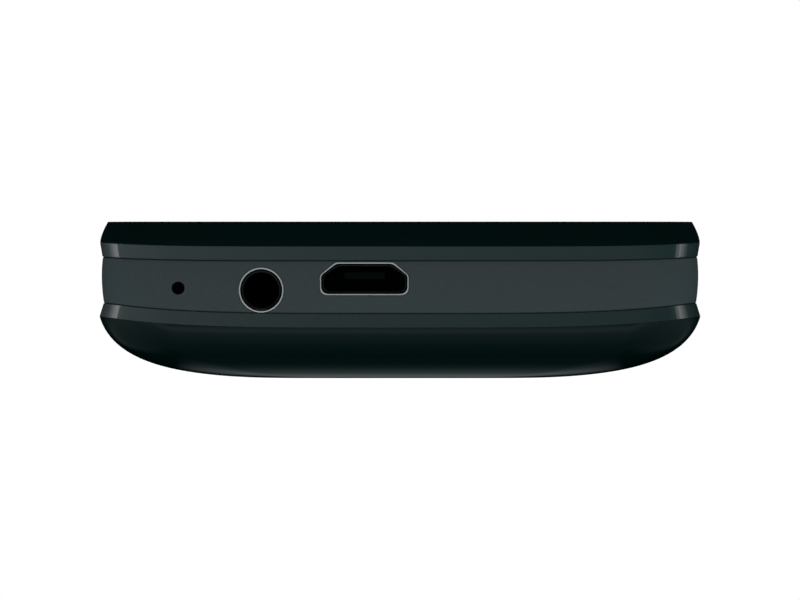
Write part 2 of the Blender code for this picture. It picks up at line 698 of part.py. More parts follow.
def rear_tail():
    """The visible rear end of the back, behind the cover's joint, as a solid."""
    rim_radius = CORNER_RADIUS - COVER_RIM_INSET
    rim_y = FRONT_Y + COVER_RIM_INSET
    rim_half = HALF_WIDTH - COVER_RIM_INSET
    top_radius = rim_radius - COVER_WALL
    top_y = FRONT_Y + COVER_WALL
    loops = back_loops(0)
    loops.append(body_outline(rim_half, rim_y, -rim_y, (rim_radius, rim_radius), cover_rim))
    loops.append(body_outline(rim_half - COVER_WALL, top_y, -top_y, (top_radius, top_radius), CHASSIS_TOP_Z))
    bm = skin(loops)
    geometry = list(bm.verts) + list(bm.edges) + list(bm.faces)
    start = (0, COVER_REAR_Y + COVER_JOINT_GAP, 0)
    found = bmesh.ops.bisect_plane(bm, geom=geometry, plane_co=start, plane_no=(0, 1, 0), clear_inner=True)
    rim = [item for item in found["geom_cut"] if isinstance(item, bmesh.types.BMEdge)]
    bmesh.ops.triangle_fill(bm, edges=rim, use_beauty=True)
    return bm


def sim_centre():
    width, depth = SIM_SIZE
    return (SIM_SIDE_MARGIN + width / 2 - BAY_HALF_WIDTH, BAY_REAR_Y - SIM_REAR_MARGIN - depth / 2)


def camera_glass_top():
    return CAMERA_GLASS_SET_IN + CAMERA_GLASS_THICKNESS + STACK_FIT


def battery_z():
    return CHASSIS_TOP_Z - BAY_ROOF - STACK_FIT - BATTERY_THICKNESS


def middle_loop(inset, height):
    radii = (CORNER_RADIUS - inset, HOUSING_REAR_RADIUS)
    return body_outline(HALF_WIDTH - inset, FRONT_Y + inset, HOUSING_REAR_Y, radii, height)


def make_front_housing():
    """Middle band with the keypad deck, the chin over the ports, and the two outer hinge knuckles."""
    foot = lambda x: lower_seam(x) + LOWER_SEAM_GAP / 2
    rim = lambda x: upper_seam(x) - UPPER_SEAM_GAP / 2
    belly = lambda x: (foot(x) + rim(x)) / 2
    front = FRONT_Y + MIDDLE_WALL
    rear = HOUSING_REAR_Y - HOUSING_REAR_RADIUS
    room = (HALF_WIDTH - MIDDLE_WALL, front, rear, (CORNER_RADIUS - MIDDLE_WALL, HOUSING_REAR_RADIUS))
    deck = (DECK_HALF_WIDTH, CHIN_Y, rear, (DECK_RADIUS, HOUSING_REAR_RADIUS))
    loops = [body_outline(*room, DECK_UNDER_Z), body_outline(*room, foot)]
    loops += [middle_loop(MIDDLE_FOOT_INSET, foot), middle_loop(MIDDLE_BULGE_INSET, belly),
              middle_loop(MIDDLE_TOP_INSET, rim)]
    loops += [body_outline(*deck, rim(0)), body_outline(*deck, DECK_TOP_Z)]
    housing = add("front_housing", skin(loops), "satin_band")
    chin_size = (2 * (HALF_WIDTH - CHIN_SIDE_MARGIN), CHIN_Y - front - 2 * STACK_FIT)
    chin = plate((0, (front + CHIN_Y) / 2), chin_size, CHIN_RADIUS, DECK_UNDER_Z - OVERRUN, CHIN_CEILING_Z)
    cut(housing, "chin_cutter", chin)
    add_outer_knuckles(housing)
    key_holes = [key_hole(centre, size) for _, centre, size in key_layout()]
    cut(housing, "key_hole_cutter", merged(key_holes + [nav_hole()]))
    cut(housing, "port_cutter", merged(port_holes()))
    cut(housing, "side_key_cutter", merged(side_key_holes()))


def add_outer_knuckles(housing):
    """Two outer knuckles on their webs, the cradle for the lid's knuckle between them, and the bores."""
    root_y = HOUSING_REAR_Y - HOUSING_REAR_RADIUS - OVERRUN / 2
    top_z = UPPER_SEAM_Z - UPPER_SEAM_GAP
    inner_x = LID_KNUCKLE_HALF + KNUCKLE_GAP
    knuckles = []
    for side, web_name in ((-1, "web_tool_left"), (1, "web_tool_right")):
        low, high = sorted((side * inner_x, side * BARREL_HALF))
        join(housing, web_name, block((low, root_y, WEB_FOOT_Z), (high, HINGE_Y, top_z)))
        knuckles.append(along_hinge(BARREL_RADIUS, low, high))
    join(housing, "knuckle_tool", merged(knuckles))
    cut(housing, "lid_knuckle_cutter", along_hinge(LID_BARREL_RADIUS + RUNNING_FIT, -inner_x, inner_x))
    bores = [along_hinge(CARTRIDGE_RADIUS + STACK_FIT, -BODY_WIDTH, -LID_KNUCKLE_HALF),
             along_hinge(PIN_RADIUS + STACK_FIT, LID_KNUCKLE_HALF, BODY_WIDTH, SMALL_SEGMENTS)]
    cut(housing, "hinge_bore_cutter", merged(bores))


def usb_outline(width, height):
    """Receptacle mouth seen from the front: flat top, slanted shoulders, rounded foot corners."""
    half = width / 2
    top_share, side_share = USB_SLANT_SHARES
    radius = USB_FOOT_RADIUS_SHARE * height
    points = [(half * top_share, height / 2), (half, height / 2 - height * side_share)]
    for step in range(KEY_CORNER_SEGMENTS + 1):
        angle = math.pi / 2 * step / KEY_CORNER_SEGMENTS
        x = half - radius + radius * math.cos(angle)
        points.append((x, radius - height / 2 - radius * math.sin(angle)))
    return points + [(-x, z) for x, z in reversed(points)]


def along_y(flat, centre_x, centre_z, places):
    """Loops of one outline (x, z) at several places along Y."""
    return [[Vector((centre_x + x, y, centre_z + z)) for x, z in flat] for y in places]


def port_holes():
    lip = usb_outline(USB_LIP_WIDTH + 2 * USB_MOUTH_FIT, USB_LIP_HEIGHT + 2 * USB_MOUTH_FIT)
    inner = FRONT_Y + MIDDLE_WALL + OVERRUN
    outer = FRONT_Y - OVERRUN
    usb = skin(along_y(lip, USB_X, USB_Z, (outer, inner)))
    jack = inward((JACK_X, JACK_Z), JACK_RING_RADIUS + JACK_MOUTH_FIT, outer, inner, BARREL_SEGMENTS)
    mic = inward((MIC_X, MIC_Z), MIC_HOLE_RADIUS, outer, inner)
    return [usb, jack, mic]


def make_usb():
    """Receptacle shell with its flared lip, and the contact tongue inside it."""
    lip_y = FRONT_Y + MIDDLE_TOP_INSET + PORT_SETBACK
    throat_y = lip_y + USB_LIP_DEPTH
    rear_y = lip_y + USB_DEPTH
    end_y = rear_y - USB_SHELL_WALL
    lip = usb_outline(USB_LIP_WIDTH, USB_LIP_HEIGHT)
    mouth = usb_outline(USB_LIP_WIDTH - USB_SHELL_WALL, USB_LIP_HEIGHT - USB_SHELL_WALL)
    outside = usb_outline(USB_SHELL_WIDTH, USB_SHELL_HEIGHT)
    inside = usb_outline(USB_SHELL_WIDTH - 2 * USB_SHELL_WALL, USB_SHELL_HEIGHT - 2 * USB_SHELL_WALL)
    loops = along_y(outside, USB_X, USB_Z, (rear_y, throat_y))
    loops += along_y(lip, USB_X, USB_Z, (lip_y,))
    loops += along_y(mouth, USB_X, USB_Z, (lip_y,))
    loops += along_y(inside, USB_X, USB_Z, (throat_y, end_y))
    add("usb_receptacle", skin(loops), "nickel_plate", (USB_X, lip_y, USB_Z))
    tongue_low = (USB_X - TONGUE_WIDTH / 2, lip_y + TONGUE_SETBACK, USB_Z)
    tongue_high = (USB_X + TONGUE_WIDTH / 2, end_y - STACK_FIT, USB_Z + TONGUE_THICKNESS)
    add("usb_tongue", block(tongue_low, tongue_high), "black_polymer", tongue_low)


def make_headphone_jack():
    """Socket body with its round collar in the end face and a blind bore."""
    face_y = FRONT_Y + MIDDLE_TOP_INSET + PORT_SETBACK
    body_y = FRONT_Y + MIDDLE_WALL + STACK_FIT
    centre = (JACK_X, JACK_Z)
    body = block((JACK_X - JACK_HALF_WIDTH, body_y, JACK_Z - JACK_HALF_HEIGHT),
                 (JACK_X + JACK_HALF_WIDTH, face_y + JACK_LENGTH, JACK_Z + JACK_HALF_HEIGHT))
    jack = add("headphone_jack", body, "black_polymer", (JACK_X, face_y, JACK_Z))
    collar = inward(centre, JACK_RING_RADIUS, face_y, body_y + OVERRUN, BARREL_SEGMENTS)
    join(jack, "jack_collar_tool", collar)
    bore = inward(centre, JACK_BORE_RADIUS, face_y - OVERRUN, face_y + JACK_BORE_DEPTH, BARREL_SEGMENTS)
    cut(jack, "jack_bore_cutter", bore)


def make_microphone():
    """Microphone capsule in a rubber boot whose front wall has the sound hole."""
    boot_y = FRONT_Y + MIDDLE_WALL + STACK_FIT
    wall_y = boot_y + BOOT_FRONT_WALL
    end_y = boot_y + BOOT_LENGTH
    centre = (MIC_X, MIC_Z)
    body = block((MIC_X - BOOT_HALF_WIDTH, boot_y, MIC_Z - BOOT_HALF_HEIGHT),
                 (MIC_X + BOOT_HALF_WIDTH, end_y, MIC_Z + BOOT_HALF_HEIGHT))
    boot = add("microphone_boot", body, "silicone", (MIC_X, boot_y, MIC_Z))
    cut(boot, "boot_hollow_cutter", inward(centre, MIC_RADIUS + STACK_FIT, wall_y, end_y + OVERRUN))
    cut(boot, "boot_hole_cutter", inward(centre, MIC_HOLE_RADIUS, boot_y - OVERRUN, wall_y + OVERRUN))
    start = wall_y + STACK_FIT
    capsule = inward(centre, MIC_RADIUS, start, start + MIC_LENGTH)
    add("microphone", capsule, "nickel_plate", (MIC_X, start, MIC_Z))


def key_layout():
    """Name, centre and size of each rounded rectangular key on the deck."""
    rows = (("key_star", "key_0", "key_hash"), ("key_7", "key_8", "key_9"), ("key_4", "key_5", "key_6"),
            ("key_1", "key_2", "key_3"), ("key_call", "key_clear", "key_end"))
    keys = []
    for row, names in enumerate(rows):
        for column, name in enumerate(names):
            centre = ((column - 1) * COLUMN_PITCH, FIRST_ROW_Y + row * ROW_PITCH)
            keys.append((name, centre, NUMBER_KEY_SIZE))
    keys.append(("soft_key_left", (-SOFT_KEY_X, NAV_Y), SOFT_KEY_SIZE))
    keys.append(("soft_key_right", (SOFT_KEY_X, NAV_Y), SOFT_KEY_SIZE))
    return keys


def key_hole(centre, size):
    low = DECK_UNDER_Z - STACK_FIT
    return plate(centre, grown(size, KEY_HOLE_FIT), KEY_RADIUS + KEY_HOLE_FIT, low, DECK_TOP_Z + OVERRUN)


def nav_hole():
    radius = NAV_RING_RADIUS + KEY_HOLE_FIT
    return upright((0, NAV_Y), radius, DECK_UNDER_Z - STACK_FIT, DECK_TOP_Z + OVERRUN, BARREL_SEGMENTS)


def make_key(name, centre, size):
    """Key cap with a slightly crowned top and the flange that holds it under the deck."""
    half = (size[0] / 2, size[1] / 2)
    wide = (half[0] + FLANGE_WIDTH, half[1] + FLANGE_WIDTH)
    small = (half[0] - KEY_EDGE, half[1] - KEY_EDGE)
    flange_top = FLANGE_Z + FLANGE_THICKNESS
    sections = ((wide, KEY_RADIUS + FLANGE_WIDTH, FLANGE_Z), (wide, KEY_RADIUS + FLANGE_WIDTH, flange_top),
                (half, KEY_RADIUS, flange_top), (half, KEY_RADIUS, KEY_TOP_Z - KEY_CROWN),
                (small, KEY_RADIUS - KEY_EDGE, KEY_TOP_Z))
    loops = []
    for reach, radius, z in sections:
        loops.append(outline(centre, reach, (radius, radius), z, KEY_CORNER_SEGMENTS, 1))
    add(name, skin(loops), "key_plastic", (*centre, FLANGE_Z))


def make_navigation():
    """Four-way ring, the rocker plate that it sits on, and the OK key in its middle."""
    centre = (0, NAV_Y, 0)
    up = (0, 0, 1)
    edge_z = KEY_TOP_Z - KEY_CROWN
    flange_top = FLANGE_Z + NAV_FLANGE_THICKNESS
    ring = ((NAV_RING_BORE, FLANGE_Z), (NAV_RING_RADIUS + FLANGE_WIDTH, FLANGE_Z),
            (NAV_RING_RADIUS + FLANGE_WIDTH, flange_top), (NAV_RING_RADIUS, flange_top),
            (NAV_RING_RADIUS, edge_z), (NAV_RING_RADIUS - KEY_EDGE, KEY_TOP_Z),
            (NAV_RING_BORE + KEY_EDGE, edge_z), (NAV_RING_BORE, edge_z - KEY_CROWN))
    add("nav_ring", turned(ring, centre, up, BARREL_SEGMENTS, True), "key_plastic", (0, NAV_Y, FLANGE_Z))
    seat = FLANGE_Z - NAV_PLATE_FIT
    foot = seat - NAV_PLATE_THICKNESS
    rocker = ((NAV_RING_BORE, foot), (NAV_PLATE_RADIUS, foot), (NAV_PLATE_RADIUS, seat),
              (NAV_RING_BORE, seat))
    plate_mesh = turned(rocker, centre, up, BARREL_SEGMENTS, True)
    add("nav_rocker_plate", plate_mesh, "black_polymer", (0, NAV_Y, foot))
    ok_key = ((OK_KEY_RADIUS, seat), (OK_KEY_RADIUS, edge_z), (OK_KEY_RADIUS - KEY_EDGE, KEY_TOP_Z))
    add("ok_key", turned(ok_key, centre, up, BARREL_SEGMENTS), "key_plastic", (0, NAV_Y, seat))


def side_key_specs():
    """Name, side, place along Y and length of the two keys in the middle band's sides."""
    return (("volume_rocker", -1, ROCKER_Y, ROCKER_LENGTH), ("side_key", 1, SIDE_KEY_Y, SIDE_KEY_LENGTH))


def side_key_holes():
    holes = []
    inner_x = HALF_WIDTH - MIDDLE_WALL - OVERRUN
    outer_x = HALF_WIDTH + OVERRUN
    tall = ROCKER_HEIGHT / 2 + STACK_FIT
    for _, side, y, length in side_key_specs():
        low, high = sorted((side * inner_x, side * outer_x))
        reach = length / 2 + SIDE_KEY_FIT
        holes.append(block((low, y - reach, SIDE_KEY_Z - tall), (high, y + reach, SIDE_KEY_Z + tall)))
    return holes


def make_side_keys():
    """Side keys: a pill-shaped cap through the wall and a wider foot inside it."""
    face_x = HALF_WIDTH - SIDE_KEY_PROUD
    foot_x = HALF_WIDTH - MIDDLE_WALL - STACK_FIT
    half_height = ROCKER_HEIGHT / 2
    radius = half_height - SIDE_KEY_ROUND
    for name, side, y, length in side_key_specs():
        foot = (half_height, length / 2 + SIDE_KEY_FOOT)
        cap = (half_height, length / 2)
        face = (cap[0] - SIDE_KEY_ROUND, cap[1] - SIDE_KEY_ROUND)
        sections = ((foot, radius, foot_x - SIDE_KEY_FOOT), (foot, radius, foot_x), (cap, radius, foot_x),
                    (cap, radius, face_x - SIDE_KEY_ROUND), (face, radius - SIDE_KEY_ROUND, face_x))
        loops = []
        for half, r, x in sections:
            flat = outline((0, 0), half, (r, r), x, KEY_CORNER_SEGMENTS, 1)
            loops.append([Vector((side * p.z, y + p.y, SIDE_KEY_Z + p.x)) for p in flat])
        add(name, skin(loops), "satin_band", (side * foot_x, y, SIDE_KEY_Z))


def make_hinge():
    """Spring cartridge on the left, stub pin on the right, and a cap over each outer knuckle end."""
    axis = (0, HINGE_Y, HINGE_Z)
    outer_x = BARREL_HALF - STACK_FIT
    cartridge = along_hinge(CARTRIDGE_RADIUS, -outer_x, -CARTRIDGE_INNER_X)
    add("hinge_cartridge", cartridge, "spring_steel", axis)
    add("hinge_pin", along_hinge(PIN_RADIUS, PIN_INNER_X, outer_x), "spring_steel", axis)
    for name, side in (("hinge_cap_left", -1), ("hinge_cap_right", 1)):
        inner = side * (BARREL_HALF + STACK_FIT)
        outer = inner + side * HINGE_CAP_THICKNESS
        shoulder = outer - side * HINGE_CAP_THICKNESS / 2
        profile = ((BARREL_RADIUS, inner), (BARREL_RADIUS, shoulder),
                   (BARREL_RADIUS - HINGE_CAP_ROUND, outer))
        add(name, turned(profile, axis, (1, 0, 0), BARREL_SEGMENTS), "satin_band", axis)


def lid_loop(inset, height):
    centre_y = (FRONT_Y + LID_REAR_Y) / 2
    half = (HALF_WIDTH - inset, (LID_REAR_Y - FRONT_Y) / 2 - inset)
    radii = (CORNER_RADIUS - inset, LID_REAR_RADIUS - min(inset, LID_REAR_RADIUS / 2))
    return outline((0, centre_y), half, radii, height, CORNER_SEGMENTS, END_SEGMENTS)


def lid_slope():
    """Insets and heights of the lid's side from its shoulder up to the top edge, slightly convex."""
    shoulder_z = BODY_HEIGHT - LID_SHOULDER_DROP
    steps = []
    for step in range(LID_SLOPE_STEPS + 1):
        t = step / LID_SLOPE_STEPS
        inset = LID_SHOULDER_INSET + (LID_TOP_INSET - LID_SHOULDER_INSET) * t ** 2
        steps.append((inset, shoulder_z + (BODY_HEIGHT - shoulder_z) * t))
    return steps


def make_lid_cover(lid_axis):
    """Outer cover: band, sloped side and flat top in one shell, with the middle hinge knuckle."""
    rim = lambda x: upper_seam(x) + UPPER_SEAM_GAP / 2
    fold = lambda x: rim(x) + BAND_HEIGHT
    loops = [lid_loop(LID_SIDE_WALL, LID_CEILING_Z), lid_loop(LID_SIDE_WALL, rim)]
    loops += [lid_loop(LID_RIM_INSET, rim), lid_loop(LID_SHOULDER_INSET, fold)]
    loops += [lid_loop(inset, z) for inset, z in lid_slope()]
    cover = add("lid_outer_cover", skin(loops), "gloss_black_shell", lid_axis.location, lid_axis)
    add_lid_knuckle(cover)
    pocket_z = BODY_HEIGHT - OUTER_WINDOW_POCKET
    pocket_size = grown(OUTER_WINDOW_SIZE, STACK_FIT)
    pocket_radius = OUTER_WINDOW_RADIUS + STACK_FIT
    place = (0, OUTER_WINDOW_Y)
    pocket = plate(place, pocket_size, pocket_radius, pocket_z, BODY_HEIGHT + OVERRUN, CORNER_SEGMENTS)
    cut(cover, "outer_window_cutter", pocket)
    low = LID_CEILING_Z - OVERRUN
    opening = plate(place, OUTER_DISPLAY_OPENING, OUTER_WINDOW_RADIUS / 2, low, pocket_z + STACK_FIT)
    cut(cover, "outer_display_cutter", opening)


def add_lid_knuckle(cover):
    """Middle knuckle on its neck, with the bores for the cartridge and the pin."""
    neck_low = (-LID_KNUCKLE_HALF, LID_REAR_Y - NECK_ROOT, LID_INNER_FACE_Z + LID_INNER_SET_IN)
    neck_high = (LID_KNUCKLE_HALF, HINGE_Y, HINGE_Z + LID_BARREL_RADIUS - OVERRUN / 2)
    join(cover, "neck_tool", block(neck_low, neck_high))
    join(cover, "lid_knuckle_tool", along_hinge(LID_BARREL_RADIUS, -LID_KNUCKLE_HALF, LID_KNUCKLE_HALF))
    end_x = LID_KNUCKLE_HALF + OVERRUN
    left = along_hinge(CARTRIDGE_RADIUS + STACK_FIT, -end_x, STACK_FIT - CARTRIDGE_INNER_X)
    right = along_hinge(PIN_RADIUS + STACK_FIT, PIN_INNER_X - STACK_FIT, end_x, SMALL_SEGMENTS)
    cut(cover, "lid_bore_cutter", merged([left, right]))


def make_lid_inner_housing(lid_axis):
    """Inner plate of the lid with the openings for the window, display, earpiece and bumpers."""
    inset = LID_SIDE_WALL + STACK_FIT
    loops = [lid_loop(inset, z) for z in (LID_INNER_FACE_Z, LID_PLATE_TOP_Z)]
    inner = add("lid_inner_housing", skin(loops), "satin_band", lid_axis.location, lid_axis)
    below = LID_INNER_FACE_Z - OVERRUN
    above = LID_PLATE_TOP_Z + OVERRUN
    ledge_z = LID_INNER_FACE_Z + WINDOW_THICKNESS + STACK_FIT
    place = (0, WINDOW_Y)
    window = plate(place, grown(WINDOW_SIZE, STACK_FIT), WINDOW_RADIUS + STACK_FIT, below, ledge_z)
    cut(inner, "window_cutter", window)
    display = plate(place, DISPLAY_OPENING, WINDOW_RADIUS / 2, ledge_z - STACK_FIT / 2, above)
    cut(inner, "display_cutter", display)
    cut(inner, "earpiece_cutter", plate((0, EARPIECE_Y), EARPIECE_SLOT, EARPIECE_SLOT_RADIUS, below, above))
    radius = BUMPER_RADIUS + STACK_FIT
    pocket_z = LID_INNER_FACE_Z + BUMPER_POCKET
    pockets = [upright((x, BUMPER_Y), radius, below, pocket_z) for x in (-BUMPER_X, BUMPER_X)]
    cut(inner, "bumper_cutter", merged(pockets))


def make_lid_parts(lid_axis):
    """Both displays with their windows, the earpiece, the lid's board and the two bumpers."""
    def lid_part(name, bm, finish):
        add(name, bm, finish, lid_axis.location, lid_axis)

    def lid_plate(name, finish, place, size, radius, low, thickness, corner_segments=KEY_CORNER_SEGMENTS):
        lid_part(name, plate(place, size, radius, low, low + thickness, corner_segments), finish)

    main = (0, WINDOW_Y)
    outer = (0, OUTER_WINDOW_Y)
    lid_plate("main_display_window", "black_glass", main, WINDOW_SIZE, WINDOW_RADIUS, LID_INNER_FACE_Z,
              WINDOW_THICKNESS)
    lid_plate("main_display_module", "nickel_plate", main, DISPLAY_SIZE, WINDOW_RADIUS / 2, DISPLAY_Z,
              DISPLAY_THICKNESS)
    lid_plate("outer_display_window", "black_glass", outer, OUTER_WINDOW_SIZE, OUTER_WINDOW_RADIUS,
              BODY_HEIGHT - OUTER_WINDOW_THICKNESS, OUTER_WINDOW_THICKNESS, CORNER_SEGMENTS)
    lid_plate("outer_display_module", "nickel_plate", outer, OUTER_DISPLAY_SIZE, WINDOW_RADIUS / 2,
              OUTER_DISPLAY_Z, OUTER_DISPLAY_THICKNESS)
    lid_plate("earpiece_receiver", "black_polymer", (0, EARPIECE_Y), EARPIECE_SIZE, EARPIECE_SIZE[1] / 4,
              DISPLAY_Z, EARPIECE_THICKNESS)
    lid_plate("lid_circuit_board", "circuit_board", (0, LID_BOARD_Y), LID_BOARD_SIZE, TRAY_WALL, DISPLAY_Z,
              LID_BOARD_THICKNESS)
    for name, x in (("lid_bumper_left", -BUMPER_X), ("lid_bumper_right", BUMPER_X)):
        low = LID_INNER_FACE_Z - BUMPER_PROUD
        high = LID_INNER_FACE_Z + BUMPER_POCKET - STACK_FIT
        lid_part(name, upright((x, BUMPER_Y), BUMPER_RADIUS, low, high, PEG_SEGMENTS), "silicone")


def make_board():
    """Main board with its notches for the sunk headphone socket and the microphone."""
    middle_y = (BOARD_FRONT_Y + BOARD_REAR_Y) / 2
    size = (2 * BOARD_HALF_WIDTH, BOARD_REAR_Y - BOARD_FRONT_Y)
    mesh = plate((0, middle_y), size, BOARD_RADIUS, BOARD_Z, BOARD_TOP_Z)
    board = add("main_board", mesh, "circuit_board", (0, middle_y, BOARD_Z))
    cut(board, "jack_notch_cutter", jack_notch(BOARD_Z - OVERRUN, BOARD_TOP_Z + OVERRUN))
    mic_low = (MIC_X - BOOT_HALF_WIDTH - FIT, FRONT_Y - OVERRUN, BOARD_Z - OVERRUN)
    mic_high = (JACK_X, FRONT_Y + MIDDLE_WALL + BOOT_LENGTH + 2 * FIT, BOARD_TOP_Z + OVERRUN)
    cut(board, "microphone_notch_cutter", block(mic_low, mic_high))


def jack_notch(low, high):
    """Space round the headphone socket's body, open to the front."""
    end_y = FRONT_Y + JACK_LENGTH + MIDDLE_WALL
    middle = (JACK_X, (FRONT_Y + end_y) / 2)
    return standing(middle, (2 * (JACK_HALF_WIDTH + FIT), end_y - FRONT_Y), low, high)


def make_key_layers():
    """Dome sheet and rubber keypad mat between the board and the keys."""
    front = CHIN_Y + DECK_MARGIN
    rear = BOARD_REAR_Y - DECK_MARGIN
    place = (0, (front + rear) / 2)
    size = (2 * (BOARD_HALF_WIDTH - DECK_MARGIN), rear - front)
    layers = (("dome_sheet", DOME_SHEET_Z, DOME_SHEET_THICKNESS, "polyester_film"),
              ("keypad_mat", MAT_Z, MAT_THICKNESS, "silicone"))
    for name, low, thickness, finish in layers:
        layer = add(name, plate(place, size, BOARD_RADIUS, low, low + thickness), finish, (*place, low))
        cut(layer, name + "_notch_cutter", jack_notch(BOARD_Z, DECK_UNDER_Z))
    room = upright((0, NAV_Y), NAV_PLATE_RADIUS + FIT, MAT_Z - OVERRUN / 4, DECK_UNDER_Z, BARREL_SEGMENTS)
    cut(layer, "mat_rocker_cutter", room)


def make_battery_parts():
    """Battery, the contacts in front of it and the card socket above it."""
    low = battery_z()
    size = (2 * (BAY_HALF_WIDTH - FIT), BAY_LENGTH - 2 * BATTERY_END_FIT)
    battery = plate((0, BAY_Y), size, BATTERY_RADIUS, low, low + BATTERY_THICKNESS)
    add("battery", battery, "battery_film", (0, BAY_Y, low))
    top = BOARD_Z - STACK_FIT
    width, depth, height = CONNECTOR_SIZE
    place = (CONNECTOR_X, PART_TRAY_REAR_Y - FIT - depth / 2)
    contacts = standing(place, (width, depth), top - height, top)
    add("battery_connector", contacts, "black_polymer", (*place, top))
    sim = plate(sim_centre(), SIM_SIZE, TRAY_WALL / 2, top - SIM_THICKNESS, top)
    add("sim_socket", sim, "nickel_plate", (*sim_centre(), top))


def make_radio_parts():
    """Shield can under the board, and the antenna along the front wall of the tray."""
    left = JACK_X + JACK_HALF_WIDTH + CAN_JACK_GAP
    right = PART_TRAY_HALF_WIDTH - CAN_SIDE_MARGIN
    front = PART_TRAY_FRONT_Y + ANTENNA_DEPTH + CAN_FRONT_GAP
    rear = PART_TRAY_REAR_Y - CAN_REAR_GAP
    place = ((left + right) / 2, (front + rear) / 2)
    size = (right - left, rear - front)
    top = BOARD_Z - STACK_FIT
    low = top - CAN_HEIGHT
    can = add("shield_can", plate(place, size, CAN_RADIUS, low, top), "nickel_plate", (*place, top))
    inside = plate(place, grown(size, -CAN_WALL), CAN_RADIUS - CAN_WALL, low + CAN_WALL, top + OVERRUN)
    cut(can, "can_cutter", inside)
    antenna_y = PART_TRAY_FRONT_Y + FIT
    antenna_z = PART_TRAY_FLOOR_Z + STACK_FIT
    antenna_size = (2 * (PART_TRAY_HALF_WIDTH - ANTENNA_SIDE_MARGIN), ANTENNA_DEPTH)
    antenna_place = (0, antenna_y + ANTENNA_DEPTH / 2)
    antenna = standing(antenna_place, antenna_size, antenna_z, antenna_z + ANTENNA_HEIGHT)
    add("antenna", antenna, "spring_steel", (0, antenna_y, antenna_z))


def make_rear_parts():
    """Loudspeaker, camera module and the camera's glass in the rear tray."""
    floor = REAR_TRAY_FLOOR_Z + STACK_FIT
    speaker_place = (SPEAKER_X, REAR_TRAY_Y)
    speaker = upright(speaker_place, SPEAKER_RADIUS, floor, floor + SPEAKER_THICKNESS, BARREL_SEGMENTS)
    add("loudspeaker", speaker, "black_polymer", (*speaker_place, floor))
    camera_size = (2 * CAMERA_HALF, 2 * CAMERA_HALF)
    camera = standing(CAMERA_PLACE, camera_size, floor, floor + CAMERA_HEIGHT)
    add("camera_module", camera, "black_polymer", (*CAMERA_PLACE, floor))
    glass_top = CAMERA_GLASS_SET_IN + CAMERA_GLASS_THICKNESS
    glass = upright(CAMERA_PLACE, CAMERA_GLASS_RADIUS, CAMERA_GLASS_SET_IN, glass_top, BARREL_SEGMENTS)
    add("camera_window", glass, "black_glass", (*CAMERA_PLACE, CAMERA_GLASS_SET_IN))


def make_vibration_motor():
    """Motor can with its shaft, and the half-round weight that spins on it."""
    axis = (MOTOR_X, REAR_TRAY_REAR_Y - MOTOR_END_MARGIN, REAR_TRAY_FLOOR_Z + MOTOR_LIFT)
    down_y = (0, -1, 0)
    shaft_end = MOTOR_LENGTH + MOTOR_SHAFT_LENGTH
    profile = ((MOTOR_RADIUS, 0), (MOTOR_RADIUS, MOTOR_LENGTH), (MOTOR_SHAFT_RADIUS, MOTOR_LENGTH),
               (MOTOR_SHAFT_RADIUS, shaft_end))
    add("vibration_motor", turned(profile, axis, down_y, SMALL_SEGMENTS), "nickel_plate", axis)
    start = MOTOR_LENGTH + WEIGHT_GAP
    end = start + WEIGHT_LENGTH
    bore = MOTOR_SHAFT_RADIUS + STACK_FIT
    disc = ((bore, start), (WEIGHT_RADIUS, start), (WEIGHT_RADIUS, end), (bore, end))
    weight = add("vibration_weight", turned(disc, axis, down_y, SMALL_SEGMENTS, True), "spring_steel", axis)
    flat_low = (axis[0] - MOTOR_LENGTH, REAR_TRAY_FRONT_Y, axis[2] + WEIGHT_FLAT)
    flat_high = (axis[0] + MOTOR_LENGTH, axis[1], BODY_HEIGHT)
    cut(weight, "weight_flat_cutter", block(flat_low, flat_high))


def make_all():
    clear_scene()
    lid_axis = bpy.data.objects.new("lid_axis", None)
    bpy.context.scene.collection.objects.link(lid_axis)
    lid_axis.location = (0, HINGE_Y, HINGE_Z)
    make_back_cover()
    make_rear_housing()
    make_front_housing()
    make_usb()
    make_headphone_jack()
    make_microphone()
    make_board()
    make_key_layers()
    make_battery_parts()
    make_radio_parts()
    make_rear_parts()
    make_vibration_motor()
    for name, centre, size in key_layout():
        make_key(name, centre, size)
    make_navigation()
    make_side_keys()
    make_hinge()
    make_lid_cover(lid_axis)
    make_lid_inner_housing(lid_axis)
    make_lid_parts(lid_axis)


make_all()
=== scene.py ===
"""Looks of a closed clamshell phone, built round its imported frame.

Shapes are worked out in millimetres with numpy and written to the meshes in metres. The ports face -Y, the
hinge is at +Y and the lid is on top.
"""
import math

import bmesh
import bpy
import numpy as np
from mathutils import Matrix, Vector

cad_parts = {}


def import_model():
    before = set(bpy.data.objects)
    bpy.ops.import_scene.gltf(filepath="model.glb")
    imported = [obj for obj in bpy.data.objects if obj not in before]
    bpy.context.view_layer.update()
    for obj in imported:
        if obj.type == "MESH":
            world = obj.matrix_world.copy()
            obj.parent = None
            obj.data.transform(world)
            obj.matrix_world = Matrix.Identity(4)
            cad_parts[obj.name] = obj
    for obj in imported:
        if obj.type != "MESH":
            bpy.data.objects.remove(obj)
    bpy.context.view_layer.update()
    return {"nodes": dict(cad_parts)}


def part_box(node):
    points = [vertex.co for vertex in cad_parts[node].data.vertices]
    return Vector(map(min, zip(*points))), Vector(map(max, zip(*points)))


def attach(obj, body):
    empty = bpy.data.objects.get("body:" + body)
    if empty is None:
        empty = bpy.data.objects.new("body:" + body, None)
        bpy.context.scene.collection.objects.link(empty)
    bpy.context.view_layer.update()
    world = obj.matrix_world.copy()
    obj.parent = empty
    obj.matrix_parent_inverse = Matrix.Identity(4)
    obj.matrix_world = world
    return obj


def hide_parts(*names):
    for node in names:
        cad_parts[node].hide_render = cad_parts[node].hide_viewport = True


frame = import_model()

MM = 0.001

